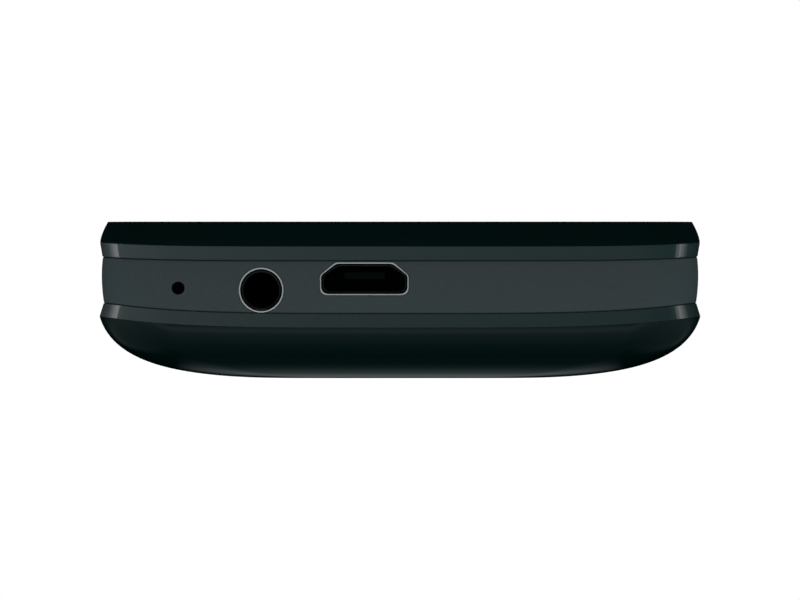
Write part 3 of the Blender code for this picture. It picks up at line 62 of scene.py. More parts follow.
# Axes, and places past everything for cutting tools
X_AXIS, Y_AXIS, Z_AXIS = (1, 0, 0), (0, 1, 0), (0, 0, 1)
FAR, UNDER, OVER = 60, -1, 20

# Body
HALF_WIDTH = 27.15
FRONT_Y = -53.0
BODY_HEIGHT = 14.14
CORNER_RADIUS = 6.0
SEAM_REACH = 0.98 * HALF_WIDTH
UPPER_SEAM_Z = 10.61
UPPER_SEAM_RISE = 0.32
UPPER_SEAM_GAP = 0.1
LOWER_SEAM_Z = 5.85
LOWER_SEAM_RISE = 0.95
LOWER_SEAM_GAP = 0.09
BAND_HEIGHT = 1.25
EDGE = 0.05

# Lid
LID_REAR_Y = 41.8
LID_REAR_RADIUS = 2.0
LID_WALL = 1.1
LID_CEILING_Z = 13.21
LID_RIM_INSET = 0.25
LID_SHOULDER_INSET = 0.05
LID_TOP_INSET = 0.76
LID_SHOULDER_Z = 12.3
LID_INNER_FACE_Z = 10.76

# Back
BACK_WIDTH_SHARES = (1.0, 0.958, 0.745, 0.37)
BACK_HEIGHT_SHARES = (1.0, 0.32, 0.0, 0.0)
WALL_IN_SHARES = (1.0, 0.95, 0.3, 0.0)
WALL_UP_SHARES = (0.0, 0.35, 1.0, 1.0)
END_TUCK_SHARE = 0.45
COVER_RIM_INSET = 0.35
COVER_WALL = 1.2
COVER_REAR_Y = 30.0
COVER_JOINT_GAP = 0.2
CHASSIS_TOP_Z = 5.55

# Middle band and deck
HOUSING_REAR_Y = 41.8
HOUSING_REAR_RADIUS = 1.0
MIDDLE_INSETS = (0.39, 0.2, 0.29)
MIDDLE_WALL = 1.3
DECK_HALF_WIDTH = 24.75
DECK_RADIUS = 4.0
DECK_TOP_Z = 10.05
DECK_UNDER_Z = 9.25
CHIN_Y = -40.5

# Hinge
HINGE_Y = 47.0
HINGE_Z = 9.3
BARREL_RADIUS = 4.7
LID_BARREL_RADIUS = 4.6
KNUCKLE_HALF = 13.0
KNUCKLE_GAP = 0.3
BARREL_HALF = 25.6
BARREL_EDGE = 0.25
HINGE_AXIS = (0, HINGE_Y, HINGE_Z)
CARTRIDGE_BORE = 3.25
PIN_BORE = 2.15
NECK_ROOT = 1.2
NECK_TOP_Z = 13.4
WEB_FOOT_Z = 6.0
LID_BORE_ENDS = (-4.85, 6.15)
HOUSING_BORE_ENDS = (-2, 2)
HINGE_CAP_ROUND = 0.45
HINGE_CAP_DISH = ((3.6, 0), (3.45, 0.03), (3.3, 0.12), (1.5, 0.14), (0.3, 0.15))

# Bands let into the shells
BAND_DEPTH = 0.75
BAND_JOINT = 0.012
LIP_GAP = 0.01

# Sockets in the end face
USB_LIP = (8.07, 3.01)
USB_SHELL = (7.5, 2.35)
USB_NECK = (7.51, 2.45)
USB_INSIDE = (7.37, 2.31)
USB_WALL = 0.25
USB_DEPTH = 5.6
USB_LIP_DEPTH = 0.6
USB_SLANT_SHARES = (0.65, 0.39)
USB_CORNER_CUTS = (0.3, 0.28, 0.75)
CORNER_DOTS = 10
SOCKET_MOUTH_FIT = 0.03
PORT_FACE_Y = FRONT_Y + 0.41
JACK_RING_RADIUS = 2.045
JACK_LIP_RADIUS = 1.895
JACK_BORE_RADIUS = 1.76
JACK_LEAF_RADIUS = 1.62
JACK_BORE_DEPTH = 9.8
MIC_HOLE_RADIUS = 0.587
SOCKET_SHIFTS = {"usb_receptacle": (-0.02, 0, 0), "headphone_jack": (0.03, 0, -0.04),
                 "microphone": (0.07, 0, -0.03)}

# Keys
KEY_FIT = 0.25
KEY_FLANGE = 0.45
KEY_FLANGE_THICKNESS = 0.5
KEY_ROUND = 2.2
KEY_CROWN = 0.2
KEY_SHOULDER = 0.35
NAV_FLANGE_THICKNESS = 0.3
NAV_BORE_RADIUS = 4.8
NAV_DIP = 0.45
ARROW_REACH = 8.0
SIDE_KEYS = ("volume_rocker", "side_key")
SIDE_KEY_FOOT = 0.6
SIDE_KEY_ROUND = 0.3
WAIST_RADIUS = 1.5
WAIST_DEPTH = 0.15
LEGEND_RISE = 0.02
DIGIT_SIZE = 4.3
LETTER_SIZE = 1.7
HANDSET_RADIUS = 2.3
LETTERS_RIGHT = 2.6
DIGIT_LEFT = 1.6
DASH_HALF = 1.6
DASH_UP = 2.6
LEGENDS = {"key_1": ("1", ""), "key_2": ("2", "abc"), "key_3": ("3", "def"), "key_4": ("4", "ghi"),
           "key_5": ("5", "jkl"), "key_6": ("6", "mno"), "key_7": ("7", "pqrs"), "key_8": ("8", "tuv"),
           "key_9": ("9", "wxyz"), "key_0": ("0", "+"), "key_star": ("*", ""), "key_hash": ("#", ""),
           "key_clear": ("C", "")}
KEY_NAMES = ("key_star", "key_0", "key_hash", "key_7", "key_8", "key_9", "key_4", "key_5", "key_6",
             "key_1", "key_2", "key_3", "key_call", "key_clear", "key_end", "soft_key_left",
             "soft_key_right")

# Windows (corner radius, border), bumpers, camera, rooms in the chassis, screws and battery
LID_FACE_INSET = 1.25
WINDOW_FIT = 0.12
OUTER_WINDOW = (2.8, 3.0)
MAIN_WINDOW = (2.2, 3.4)
BUMPERS = ("lid_bumper_left", "lid_bumper_right")
BUMPER_RADIUS = 1.4
MAIN_VIEW_INSET = (3.6, 5.4)
EARPIECE_SLOT = (4.4, 0.55)
CAMERA_GLASS_RADIUS = 3.0
LENS_RADIUS = 1.5
PART_ROOM = 0.3
SIDE_SLOT_X = 21.5
SIDE_SLOT_HALF = 1.7
SIDE_SLOT_ENDS = (-25.4, 27.8)
REAR_TRAY_HALF = 19.5
SOUND_HOLE_RADIUS = 0.5
SOUND_HOLE_PITCH = 1.8
PART_TRAY = ((-21.2, -49.8, 3.2), (21.2, -26.6, OVER))
SCREW_PLACES = [(x, y) for x in (-18.6, 18.6) for y in (-45.5, -23.0, 24.5)]
SCREW_HEAD_RADIUS = 1.15
SCREW_FACE_Z = 2.35
SCREW_SEAT_Z = 2.7
SCREW_ARM = (0.62, 0.13)
BATTERY_ROUND = 1.2
BATTERY_CAP_LENGTH = 3.4

# Camera, room and lamps, set up as the photograph was taken. A glow holds (sine of elevation, brightness)
# stops; the four ramps that follow hold where they start and end, and the fade its first and last value
CAMERA_HEIGHT_Z = 7.07
CAMERA_DISTANCE = 2410.0
CAMERA_LENS = 1203.0
ROOM_LIGHT = ((-1.0, 0.72), (0.0, 0.92), (0.3, 0.8), (0.55, 0.6), (1.0, 0.3))
FRONT_GLOW = ((-1.0, 0.01), (-0.94, 0.03), (-0.81, 0.055), (-0.64, 0.105), (-0.55, 0.13), (-0.48, 0.2),
              (-0.42, 0.29), (-0.36, 0.22), (-0.32, 0.05), (-0.2, 0.02), (-0.06, 0.02), (0.05, 0.02),
              (0.4, 0.01))
SIDE_GLOW = ((-1.0, 0.06), (-0.89, 0.1), (-0.6, 0.15), (-0.35, 0.17), (-0.2, 0.05), (-0.05, 0.015),
             (0.2, 0.005))
BACK_GLOW = ((-0.95, 0.02), (-0.8, 0.066), (-0.7, 0.104), (-0.57, 0.127), (-0.47, 0.17), (-0.33, 0.2),
             (-0.25, 0.165), (-0.17, 0.04), (-0.1, 0.01), (0.7, 0.012), (0.85, 0.6))
REAR_FADE = (0.0, 0.9, 1.0, 0.2)
BACK_START = (0.0, 0.2)
BACK_SIDES = (0.36, 0.24)
BACK_TRIM = (-0.23, -0.03)
PAPER_HALF = 1500.0
PAPER_GLOW = 1.2
PAPER_GLOW_SHARE = 0.85
PAPER_BOUNCE = 0.74
SIDE_LAMP_PLACE = (-80, FRONT_Y - 70, 21.624)
SIDE_LAMP_SIZE = (30, 30)
SIDE_LAMP_POWER = 0.27
STRIP_POWER = 0.8
STRIP_DISTANCE = 700
STRIP_SIZE = (84, 800)
STRIP_STEP = 6.8
STRIP_ELEVATION = 6
LEFT_STRIPS = (96.3, (1.0, 0.62, 0.26, 0.07))
RIGHT_STRIPS = (-82.0, (0.52, 1.0, 0.52, 0.18))

# Samples of one body outline
FRONT_STEPS = 120
CORNER_STEPS = 20
SIDE_STEPS = 28
BACK_STEPS = 48
INNER_BACK_STEPS = 16
SMOOTH_ANGLE = math.radians(28)


def linear(code):
    """Linear colour of an sRGB hex code."""
    parts = np.array([int(code[i:i + 2], 16) for i in (0, 2, 4)]) / 255
    straight = np.where(parts <= 0.04045, parts / 12.92, ((parts + 0.055) / 1.055) ** 2.4)
    return (*straight.tolist(), 1.0)


def add_node(tree, kind, values=None, links=None, **settings):
    """One shader node with its settings, its socket values and its incoming links."""
    made = tree.nodes.new(kind)
    for key, value in settings.items():
        setattr(made, key, value)
    for socket, value in (values or {}).items():
        made.inputs[socket].default_value = value
    for socket, source in (links or {}).items():
        tree.links.new(source, made.inputs[socket])
    return made


def shader_of(name, colour, roughness, **sockets):
    """New material with its Principled shader; returns the material, its node tree and the shader."""
    made = bpy.data.materials.new(name)
    made.use_nodes = True
    shader = made.node_tree.nodes["Principled BSDF"]
    shader.inputs["Base Color"].default_value = linear(colour)
    shader.inputs["Roughness"].default_value = roughness
    for socket, value in sockets.items():
        shader.inputs[socket.replace("_", " ")].default_value = value
    return made, made.node_tree, shader


def grain(tree, width_mm, stretch=(1, 1, 1), detail=3.0):
    """Noise on Object coordinates whose blobs are about width_mm wide."""
    place = add_node(tree, "ShaderNodeTexCoord")
    turned = add_node(tree, "ShaderNodeMapping", {"Scale": stretch}, {"Vector": place.outputs["Object"]})
    return add_node(tree, "ShaderNodeTexNoise", {"Scale": 1 / (2 * width_mm * MM), "Detail": detail},
                    {"Vector": turned.outputs["Vector"]})


def remap(tree, value, start, end, low=0.0, high=1.0):
    """Straight ramp from low to high while a value goes from start to end, held outside them."""
    stops = {"From Min": start, "From Max": end, "To Min": low, "To Max": high}
    return add_node(tree, "ShaderNodeMapRange", stops, {"Value": value}).outputs["Result"]


def vary(tree, shader, socket, source, low, high):
    """Drives a shader socket from low to high with a texture's middle range."""
    tree.links.new(remap(tree, source, 0.35, 0.65, low, high), shader.inputs[socket])


def tint(tree, shader, source, low, high):
    """Base colour that drifts between two sRGB colours with a texture."""
    mixer = add_node(tree, "ShaderNodeMix", data_type="RGBA")
    mixer.inputs["A"].default_value = linear(low)
    mixer.inputs["B"].default_value = linear(high)
    tree.links.new(source, mixer.inputs["Factor"])
    tree.links.new(mixer.outputs["Result"], shader.inputs["Base Color"])


def emboss(tree, shader, source, height_mm):
    """Bump whose height is height_mm over a texture's full range."""
    bump = add_node(tree, "ShaderNodeBump", {"Distance": height_mm * MM}, {"Height": source})
    tree.links.new(bump.outputs["Normal"], shader.inputs["Normal"])


def finish(name, colour, roughness, width_mm, stretch=(1, 1, 1), detail=3.0, tints=(), gloss=(),
           bump_mm=0.0, ripple_mm=0.0, **sockets):
    """Material whose grain, about width_mm wide, drifts its colour, roughness and height.

    A ripple_mm gives the height a broader grain of its own.
    """
    made, tree, shader = shader_of(name, colour, roughness, **sockets)
    pattern = grain(tree, width_mm, stretch, detail).outputs["Fac"]
    if tints:
        tint(tree, shader, pattern, *tints)
    if gloss:
        vary(tree, shader, "Roughness", pattern, *gloss)
    if bump_mm:
        emboss(tree, shader, grain(tree, ripple_mm).outputs["Fac"] if ripple_mm else pattern, bump_mm)
    return made


def legend_ink(name, low, high):
    """Screen-printed ink on the keys: flat, with a slightly uneven cover."""
    return finish(name, high, 0.6, 0.12, tints=(low, high))


def dark_panel():
    """Switched-off liquid crystal panel behind its window: deep blue-grey, finely striped by its columns."""
    made, tree, shader = shader_of("liquid_crystal_panel", "0b1013", 0.05, IOR=1.5)
    place = add_node(tree, "ShaderNodeTexCoord")
    # Real columns are 0.16 mm apart; drawn 0.3 mm apart so that they still show
    columns = add_node(tree, "ShaderNodeTexWave", {"Scale": 1 / (20 * 0.3 * MM)},
                       {"Vector": place.outputs["Object"]}, wave_type="BANDS", bands_direction="X")
    tint(tree, shader, columns.outputs["Fac"], "0b0f12", "0c1114")
    return made


def circuit_board():
    """Green solder mask over copper: glossy resin with darker bare fibre between broad traces."""
    made, tree, shader = shader_of("solder_mask", "0f4a33", 0.35, IOR=1.55)
    place = add_node(tree, "ShaderNodeTexCoord")
    colours = {"Color1": linear("0c3d2b"), "Color2": linear("14593e"), "Mortar": linear("1c6b4c")}
    traces = add_node(tree, "ShaderNodeTexBrick", {"Scale": 1 / (8 * MM), "Mortar Size": 0.012, **colours},
                      {"Vector": place.outputs["Object"]})
    tree.links.new(traces.outputs["Color"], shader.inputs["Base Color"])
    return made


# Gloss moulded polycarbonate, near black: deep and mirror-like, with faint wipe marks in its gloss
GLOSS = finish("gloss_polycarbonate", "001110", 0.07, 9.0, (1, 0.35, 1), 4.0, gloss=(0.05, 0.1),
               bump_mm=0.004, ripple_mm=4.0, IOR=1.58)
# Dark metallic lacquer under a clear coat on the bands: fine flakes, a soft sheen and crisp glints. Real
# flakes are 0.02 mm; drawn 0.06 mm wide so that they still show
SATIN = finish("satin_lacquer", "1a3233", 0.4, 0.06, detail=2.0, tints=("182d2e", "1c3334"),
               gloss=(0.35, 0.45), IOR=1.5, Specular_IOR_Level=0.1, Coat_Weight=1.0, Coat_Roughness=0.06,
               Coat_IOR=1.3)
# Fine spark-eroded ABS of the middle band: matt with a tiny even texture. Real pits are 0.04 mm; drawn
# 0.09 mm wide so that they still show
FRAME = finish("eroded_abs", "354245", 0.45, 0.09, tints=("313e41", "3c4a4d"), gloss=(0.4, 0.52),
               bump_mm=0.006, IOR=1.52)
# Black ABS of the hidden chassis: matt, with faint moulding swirls
INNER = finish("moulded_abs", "15191a", 0.5, 1.5, (1, 0.4, 1), 4.0, ("111515", "1c2122"), (0.42, 0.58),
               IOR=1.54)
# Soft-touch lacquer on the polycarbonate keys: dark, velvety, with an even fine tooth. Real tooth is
# 0.03 mm; drawn 0.08 mm wide so that it still shows
KEYS = finish("soft_touch_lacquer", "1b2022", 0.42, 0.08, tints=("181d1f", "202628"), gloss=(0.36, 0.48),
              bump_mm=0.004, IOR=1.5)
WHITE_INK = legend_ink("white_ink", "c9cfd1", "dfe4e5")
GREEN_INK = legend_ink("green_ink", "1f8f4d", "2aa65c")
RED_INK = legend_ink("red_ink", "a32a2a", "bb3434")
# Hard-coated black-backed acrylic window: mirror gloss with the odd hairline scratch
WINDOW = finish("black_acrylic", "030506", 0.03, 2.5, (1, 0.05, 1), 2.0, gloss=(0.02, 0.06), IOR=1.49)
PANEL = dark_panel()
# Matt tin plating on the socket mouths: pale even grey, only a little metallic. Its near-white matt colour is
# partly the plating's own and partly a painted highlight for the glint on the rims. Real crystals are 0.01
# mm;
# drawn 0.05 mm wide so that they still show
TIN_WITH_PAINTED_GLINT = finish("matt_tin_painted_glint", "cad2d2", 0.5, 0.05, tints=("c0c8c8", "d4dcdc"), Metallic=0.2)
# Bright nickel on stamped steel, with faint rolling marks along the strip
NICKEL = finish("nickel_plate", "b9bcbe", 0.26, 0.15, (1, 0.08, 1), gloss=(0.2, 0.34), bump_mm=0.004,
                Metallic=1.0)
# Glass-filled black polymer inside the sockets: flat black with flow marks. On the USB shell's inside walls,
# which are plated steel, it is painted shade
POLYMER = finish("glass_filled_polymer", "010c0b", 0.5, 0.3, (1, 0.4, 1), gloss=(0.42, 0.6), bump_mm=0.01,
                 IOR=1.55, Specular_IOR_Level=0.12)
# Black rubber of the microphone boot: dull, with dust in its surface
RUBBER = finish("black_rubber", "060909", 0.75, 0.15, tints=("050808", "090d0d"), IOR=1.5)
# Ground spring steel: grey metal with fine lines round its length
STEEL = finish("ground_spring_steel", "8c9093", 0.32, 0.08, (0.06, 1, 1), gloss=(0.25, 0.42), bump_mm=0.003,
               Metallic=1.0)
BOARD = circuit_board()
# Moulded silicone: milky grey and dull, a little cloudy
SILICONE = finish("silicone_rubber", "3c4042", 0.65, 0.6, tints=("373b3d", "43484a"), gloss=(0.58, 0.72),
                  IOR=1.41)
# Printed polyester wrap round the battery's cell: smooth grey film with faint creases
WRAP = finish("polyester_wrap", "5d6468", 0.38, 3.0, (1, 0.25, 1), 4.0, ("575e62", "666d71"),
              bump_mm=0.03, IOR=1.57)
# Clear polyester film over the domes, yellowish over its glue
FILM = finish("dome_film", "b9b7a6", 0.25, 2.0, tints=("b0ae9c", "c4c2b2"), IOR=1.57)
# Thin gold flash over nickel on the contacts, rubbed a little
GOLD = finish("gold_flash", "d9b45c", 0.25, 0.2, (1, 0.1, 1), gloss=(0.2, 0.35), Metallic=1.0)

# Finishes of the CAD nodes that stay in view
NODE_FINISHES = (
    (BOARD, ("main_board", "lid_circuit_board")), (FILM, ("dome_sheet",)), (SILICONE, ("keypad_mat",)),
    (RUBBER, ("microphone_boot", "microphone")), (NICKEL, ("shield_can", "sim_socket", "vibration_motor")),
    (PANEL, ("main_display_module", "outer_display_module")), (GOLD, ("antenna",)),
    (STEEL, ("hinge_cartridge", "hinge_pin", "vibration_weight")),
    (POLYMER, ("battery_connector", "loudspeaker", "camera_module", "earpiece_receiver", "usb_tongue",
               "nav_rocker_plate")),
)


def outline(half_x, front_y, rear_y, front_radius, rear_radius):
    """Rounded rectangle: four quarter circles joined by straight runs, counter-clockwise from above."""
    quarter = np.linspace(0, np.pi / 2, CORNER_STEPS + 1)

    def arc(side_x, side_y, radius, start):
        """Quarter circle in one corner."""
        middle = np.array([side_x * (half_x - radius), rear_y - radius if side_y > 0 else front_y + radius])
        return middle + radius * np.column_stack([np.cos(start + quarter), np.sin(start + quarter)])

    def run(a, b, steps):
        """Inner points of a straight run."""
        share = np.linspace(0, 1, steps + 1)[1:-1, None]
        return a + (b - a) * share

    arcs = [arc(-1, -1, front_radius, np.pi), arc(1, -1, front_radius, 1.5 * np.pi),
            arc(1, 1, rear_radius, 0), arc(-1, 1, rear_radius, np.pi / 2)]
    steps = (FRONT_STEPS, SIDE_STEPS, FRONT_STEPS, SIDE_STEPS)
    parts = []
    for i in range(4):
        parts += [arcs[i], run(arcs[i][-1], arcs[(i + 1) % 4][0], steps[i])]
    return np.vstack(parts)


def level(flat, height):
    """Outline lifted to a height, which may be a function of x."""
    z = height(flat[:, 0]) if callable(height) else np.full(len(flat), float(height))
    return np.column_stack([flat, z])


def levels(flat_of, sections):
    """Rings from (inset, height) sections of an outline that depends on its inset."""
    return [level(flat_of(inset), height) for inset, height in sections]


def quads(rows, columns, wrap=False):
    """Faces between neighbouring rings of a grid whose columns close up."""
    row = np.arange(rows if wrap else rows - 1)[:, None]
    column = np.arange(columns)[None, :]
    after = (column + 1) % columns
    above = (row + 1) % rows
    corners = [row * columns + column, row * columns + after, above * columns + after,
               above * columns + column]
    return np.stack(corners, axis=-1).reshape(-1, 4)


def put(name, data):
    """New object at the origin for a mesh, curve, light or camera."""
    made = bpy.data.objects.new(name, data)
    bpy.context.scene.collection.objects.link(made)
    return made


def write_piece(name, points, faces, materials, slots=None):
    """Object whose mesh holds points in millimetres, with smooth faces and sharp folds."""
    mesh = bpy.data.meshes.new(name)
    mesh.from_pydata((np.asarray(points) * MM).tolist(), [], [list(face) for face in faces])
    for item in materials:
        mesh.materials.append(item)
    if slots is not None:
        mesh.polygons.foreach_set("material_index", np.asarray(slots, dtype=np.int32))
    made = put(name, mesh)
    tidy_mesh(made)
    return made


def tidy_mesh(piece):
    """Merges doubles, turns the faces outwards and marks the folds."""
    bm = bmesh.new()
    bm.from_mesh(piece.data)
    bmesh.ops.remove_doubles(bm, verts=bm.verts, dist=1e-7)
    bmesh.ops.recalc_face_normals(bm, faces=bm.faces)
    bm.to_mesh(piece.data)
    bm.free()
    piece.data.shade_smooth()
    piece.data.set_sharp_from_angle(angle=SMOOTH_ANGLE)


def loft(name, rings, materials, row_slots=None, cap_slots=(0, 0), wrap=False):
    """Skin through rings of equal count: capped at both ends, or joined last to first."""
    rings = np.asarray(rings)
    rows, columns = rings.shape[:2]
    faces = quads(rows, columns, wrap).tolist()
    bands = rows if wrap else rows - 1
    slots = np.repeat(row_slots if row_slots is not None else [0] * bands, columns).tolist()
    if not wrap:
        faces += [list(range(columns))[::-1], list(range((rows - 1) * columns, rows * columns))]
        slots += list(cap_slots)
    return write_piece(name, rings.reshape(-1, 3), faces, materials, slots)


def turned(name, profile, centre, axis, materials, row_slots=None, steps=96, wrap=False):
    """Turned piece: profile holds (radius, place along the axis) pairs, spun about the axis."""
    angle = np.linspace(0, 2 * np.pi, steps, endpoint=False)
    turn = np.array(Vector(Z_AXIS).rotation_difference(Vector(axis)).to_matrix())
    profile = np.asarray(profile, dtype=float)
    rings = np.empty((len(profile), steps, 3))
    rings[..., 0] = profile[:, :1] * np.cos(angle)
    rings[..., 1] = profile[:, :1] * np.sin(angle)
    rings[..., 2] = profile[:, 1:]
    return loft(name, rings @ turn.T + np.asarray(centre), materials, row_slots, wrap=wrap)


def round_over(size, steps=6):
    """(way in, way up) pairs along a quarter circle, from its upright start to its flat end."""
    return [(size * (1 - math.cos(a)), size * math.sin(a)) for a in np.linspace(0, math.pi / 2, steps)]


def foot(place):
    """Point straight under a place, at height 0."""
    return (place[0], place[1], 0)


def rod(name, centre, axis, radius, start, end, steps=96):
    """Cylinder between two places along its axis, used as a cutting tool."""
    return turned(name, ((radius, start), (radius, end)), centre, axis, (), steps=steps)


def upright(name, place, radius, low, high, steps=96):
    """Cutting rod that stands at a place."""
    return rod(name, foot(place), Z_AXIS, radius, low, high, steps)


def inward(name, place, radius, start, end, steps=96):
    """Cutting rod that runs into the end face at a place."""
    return rod(name, (place[0], 0, place[2]), Y_AXIS, radius, start, end, steps)


def along_hinge(name, radius, start, end, steps=96):
    """Cutting rod on the hinge's axis."""
    return rod(name, HINGE_AXIS, X_AXIS, radius, start, end, steps)


def box(name, low, high, materials=()):
    """Plain box, used as a cutting or joining tool."""
    low, high = np.asarray(low, dtype=float), np.asarray(high, dtype=float)
    flat = np.array([[low[0], low[1]], [high[0], low[1]], [high[0], high[1]], [low[0], high[1]]])
    return loft(name, [level(flat, low[2]), level(flat, high[2])], materials)


def beyond(y):
    """Cutter for everything towards the hinge from a place on."""
    return box("beyond", (-FAR, y, UNDER), (FAR, FAR, OVER))


def before(y):
    """Cutter for everything towards the ports up to a place."""
    return box("before", (-FAR, -FAR, UNDER), (FAR, y, OVER))


def shape(target, tools, operation="DIFFERENCE"):
    """Cuts the tools from a piece, or joins them to it, for good."""
    for tool in tools:
        step = target.modifiers.new("shape", "BOOLEAN")
        step.solver = "EXACT"
        step.operation = operation
        step.object = tool
    evaluated = target.evaluated_get(bpy.context.evaluated_depsgraph_get())
    mesh = bpy.data.meshes.new_from_object(evaluated)
    target.modifiers.clear()
    target.data = mesh
    for tool in tools:
        bpy.data.objects.remove(tool, do_unlink=True)
    tidy_mesh(target)


def upper_seam(x):
    """Height of the lid's parting line: it rises with the sixth power of x."""
    return UPPER_SEAM_Z + UPPER_SEAM_RISE * np.abs(x / SEAM_REACH) ** 6


def lower_seam(x):
    """Height of the back's parting line: it rises with the fourth power of x."""
    return LOWER_SEAM_Z + LOWER_SEAM_RISE * np.abs(x / SEAM_REACH) ** 4


def cover_rim(x):
    """Upper edge of the back's rim."""
    return lower_seam(x) - LOWER_SEAM_GAP / 2


def crease(x):
    """Fold between the back's band and its gloss curve."""
    return cover_rim(x) - BAND_HEIGHT


def lid_rim(x):
    """Lower edge of the lid's rim."""
    return upper_seam(x) + UPPER_SEAM_GAP / 2


def lid_outline(inset):
    """Lid seen from above, set in all round."""
    return outline(HALF_WIDTH - inset, FRONT_Y + inset, LID_REAR_Y - inset, CORNER_RADIUS - inset,
                   LID_REAR_RADIUS - min(inset, LID_REAR_RADIUS / 2))


def body_outline(inset):
    """Whole body seen from above, set in all round."""
    radius = CORNER_RADIUS - inset
    return outline(HALF_WIDTH - inset, FRONT_Y + inset, -FRONT_Y - inset, radius, radius)


def lid_side(steps=14):
    """(inset, height) pairs up the lid's sloped side: the inset grows with the height to the power 1.5."""
    share = np.linspace(0, 0.96, steps)
    inset = LID_SHOULDER_INSET + (LID_TOP_INSET - LID_SHOULDER_INSET) * share ** 1.5
    return list(zip(inset, LID_SHOULDER_Z + (BODY_HEIGHT - LID_SHOULDER_Z) * share))


def lid_ring(inset, lift):
    """Ring of the lid, lift above its lower rim."""
    return level(lid_outline(inset), lambda x: lid_rim(x) + lift)


def claim(piece, body, nodes=()):
    """The piece rides on a body and stands for the CAD nodes named."""
    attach(piece, body)
    if nodes:
        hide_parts(*nodes)
    return piece


def knuckle(name, start, end, radius):
    """Hinge barrel between two places along X, its end edges broken by a small round."""
    profile = [(radius - BARREL_EDGE + up, start + across) for across, up in round_over(BARREL_EDGE, 5)]
    profile += [(r, start + end - x) for r, x in profile[::-1]]
    return turned(name, profile, HINGE_AXIS, X_AXIS, (), steps=128)


def hinge_bores(left_end, right_end):
    """Cutters for the spring cartridge on the left and the stub pin on the right."""
    return [along_hinge("cartridge_bore", CARTRIDGE_BORE, -FAR, left_end),
            along_hinge("pin_bore", PIN_BORE, right_end, FAR)]


def make_lid_shell():
    """Outer cover of the lid: gloss sloped side and flat top, with the middle knuckle of the hinge."""
    fold, top = BAND_HEIGHT, BODY_HEIGHT
    rings = [level(lid_outline(LID_WALL), LID_CEILING_Z)]
    rings += [lid_ring(inset, lift) for inset, lift in
              ((LID_WALL, 0.0), (BAND_DEPTH, 0.0), (BAND_DEPTH, fold), (LID_SHOULDER_INSET + 0.02, fold),
               (LID_SHOULDER_INSET, fold + 0.02))]
    sides = lid_side() + [(LID_TOP_INSET + 0.003, top - 0.02), (LID_TOP_INSET + 0.02, top - 0.004),
                          (LID_TOP_INSET + 0.05, top), (LID_TOP_INSET + 0.3, top)]
    shell = loft("lid_shell", rings + levels(lid_outline, sides), (GLOSS,))
    neck = box("neck", (-KNUCKLE_HALF, LID_REAR_Y - NECK_ROOT, LID_INNER_FACE_Z + 0.15),
               (KNUCKLE_HALF, HINGE_Y, NECK_TOP_Z))
    shape(shell, [neck, knuckle("knuckle", -KNUCKLE_HALF, KNUCKLE_HALF, LID_BARREL_RADIUS)], "UNION")
    centre, half, low, high = plan("outer_display_window")
    pocket = pad("pocket", centre, half + WINDOW_FIT, OUTER_WINDOW[0] + WINDOW_FIT,
                 ((0, low - 0.1), (0, high + 1)))
    shape(shell, hinge_bores(*LID_BORE_ENDS) + [pocket])
    claim(shell, "lid", ["lid_outer_cover"])


def slanted(inset_a, inset_b, start, end):
    """(inset, place) pairs along a flat slant, close together near its end to keep it flat in the light."""
    return [(inset_a + (inset_b - inset_a) * s, start + (end - start) * s) for s in (0.04, 0.5, 0.96, 1.0)]


def make_lid_band():
    """Satin band round the lid's foot, let into the shell."""
    fold = BAND_HEIGHT - BAND_JOINT
    inner = BAND_DEPTH - BAND_JOINT
    places = [(inner, 0.0), (LID_RIM_INSET + EDGE, 0.0), (LID_RIM_INSET + 0.3 * EDGE, 0.3 * EDGE),
              (LID_RIM_INSET, EDGE)]
    places += slanted(LID_RIM_INSET, LID_SHOULDER_INSET, EDGE, fold - 0.03)
    places += [(LID_SHOULDER_INSET + 0.03, fold), (inner, fold)]
    band = loft("lid_band", [lid_ring(inset, lift) for inset, lift in places], (SATIN,), wrap=True)
    return claim(band, "lid")


def back_rings(wall, steps):
    """Rings from the flat bottom up to the crease: width and height follow one cubic curve."""
    rings = []
    for t in np.linspace(1, 0, steps + 1):
        blend = np.array([(1 - t) ** 3, 3 * t * (1 - t) ** 2, 3 * t * t * (1 - t), t ** 3])
        half_x = HALF_WIDTH * blend @ BACK_WIDTH_SHARES - wall * blend @ WALL_IN_SHARES
        rise = blend @ BACK_HEIGHT_SHARES
        lift = wall * blend @ WALL_UP_SHARES
        front_y = FRONT_Y + wall + END_TUCK_SHARE * (HALF_WIDTH - wall - half_x)
        radius = CORNER_RADIUS - wall
        flat = outline(half_x, front_y, -front_y, radius, radius)
        rings.append(level(flat, lambda x, rise=rise, lift=lift: crease(x) * rise + lift))
    return rings


def rim_ring(inset, drop=0.0):
    """Ring of the back's rim, drop below the lower parting line."""
    return level(body_outline(inset), lambda x: cover_rim(x) - drop)


def outer_back():
    """Rings up the outside of the back, round the band's seat and over the rim."""
    return back_rings(0, BACK_STEPS) + [rim_ring(BAND_DEPTH, BAND_HEIGHT), rim_ring(BAND_DEPTH)]


def make_back_shell():
    """Back cover: curved gloss shell, hollow, open towards the hinge end."""
    rings = outer_back() + [rim_ring(COVER_WALL)] + back_rings(COVER_WALL, INNER_BACK_STEPS)[::-1]
    shell = loft("back_shell", rings, (GLOSS,))
    shape(shell, [beyond(COVER_REAR_Y)])
    claim(shell, "cover", ["battery_cover"])


def back_band(name):
    """Satin band between the crease and the back's rim, as a closed ring let into the shell."""
    low = BAND_HEIGHT - BAND_JOINT
    inner = BAND_DEPTH - BAND_JOINT
    places = [(inner, low), (0.03, low), (0.01, low - 0.03)]
    places += slanted(0.01, COVER_RIM_INSET, low - 0.03, EDGE)
    places += [(COVER_RIM_INSET + 0.3 * EDGE, 0.3 * EDGE), (COVER_RIM_INSET + EDGE, 0.0), (inner, 0.0)]
    return loft(name, [rim_ring(inset, drop) for inset, drop in places], (SATIN,), wrap=True)


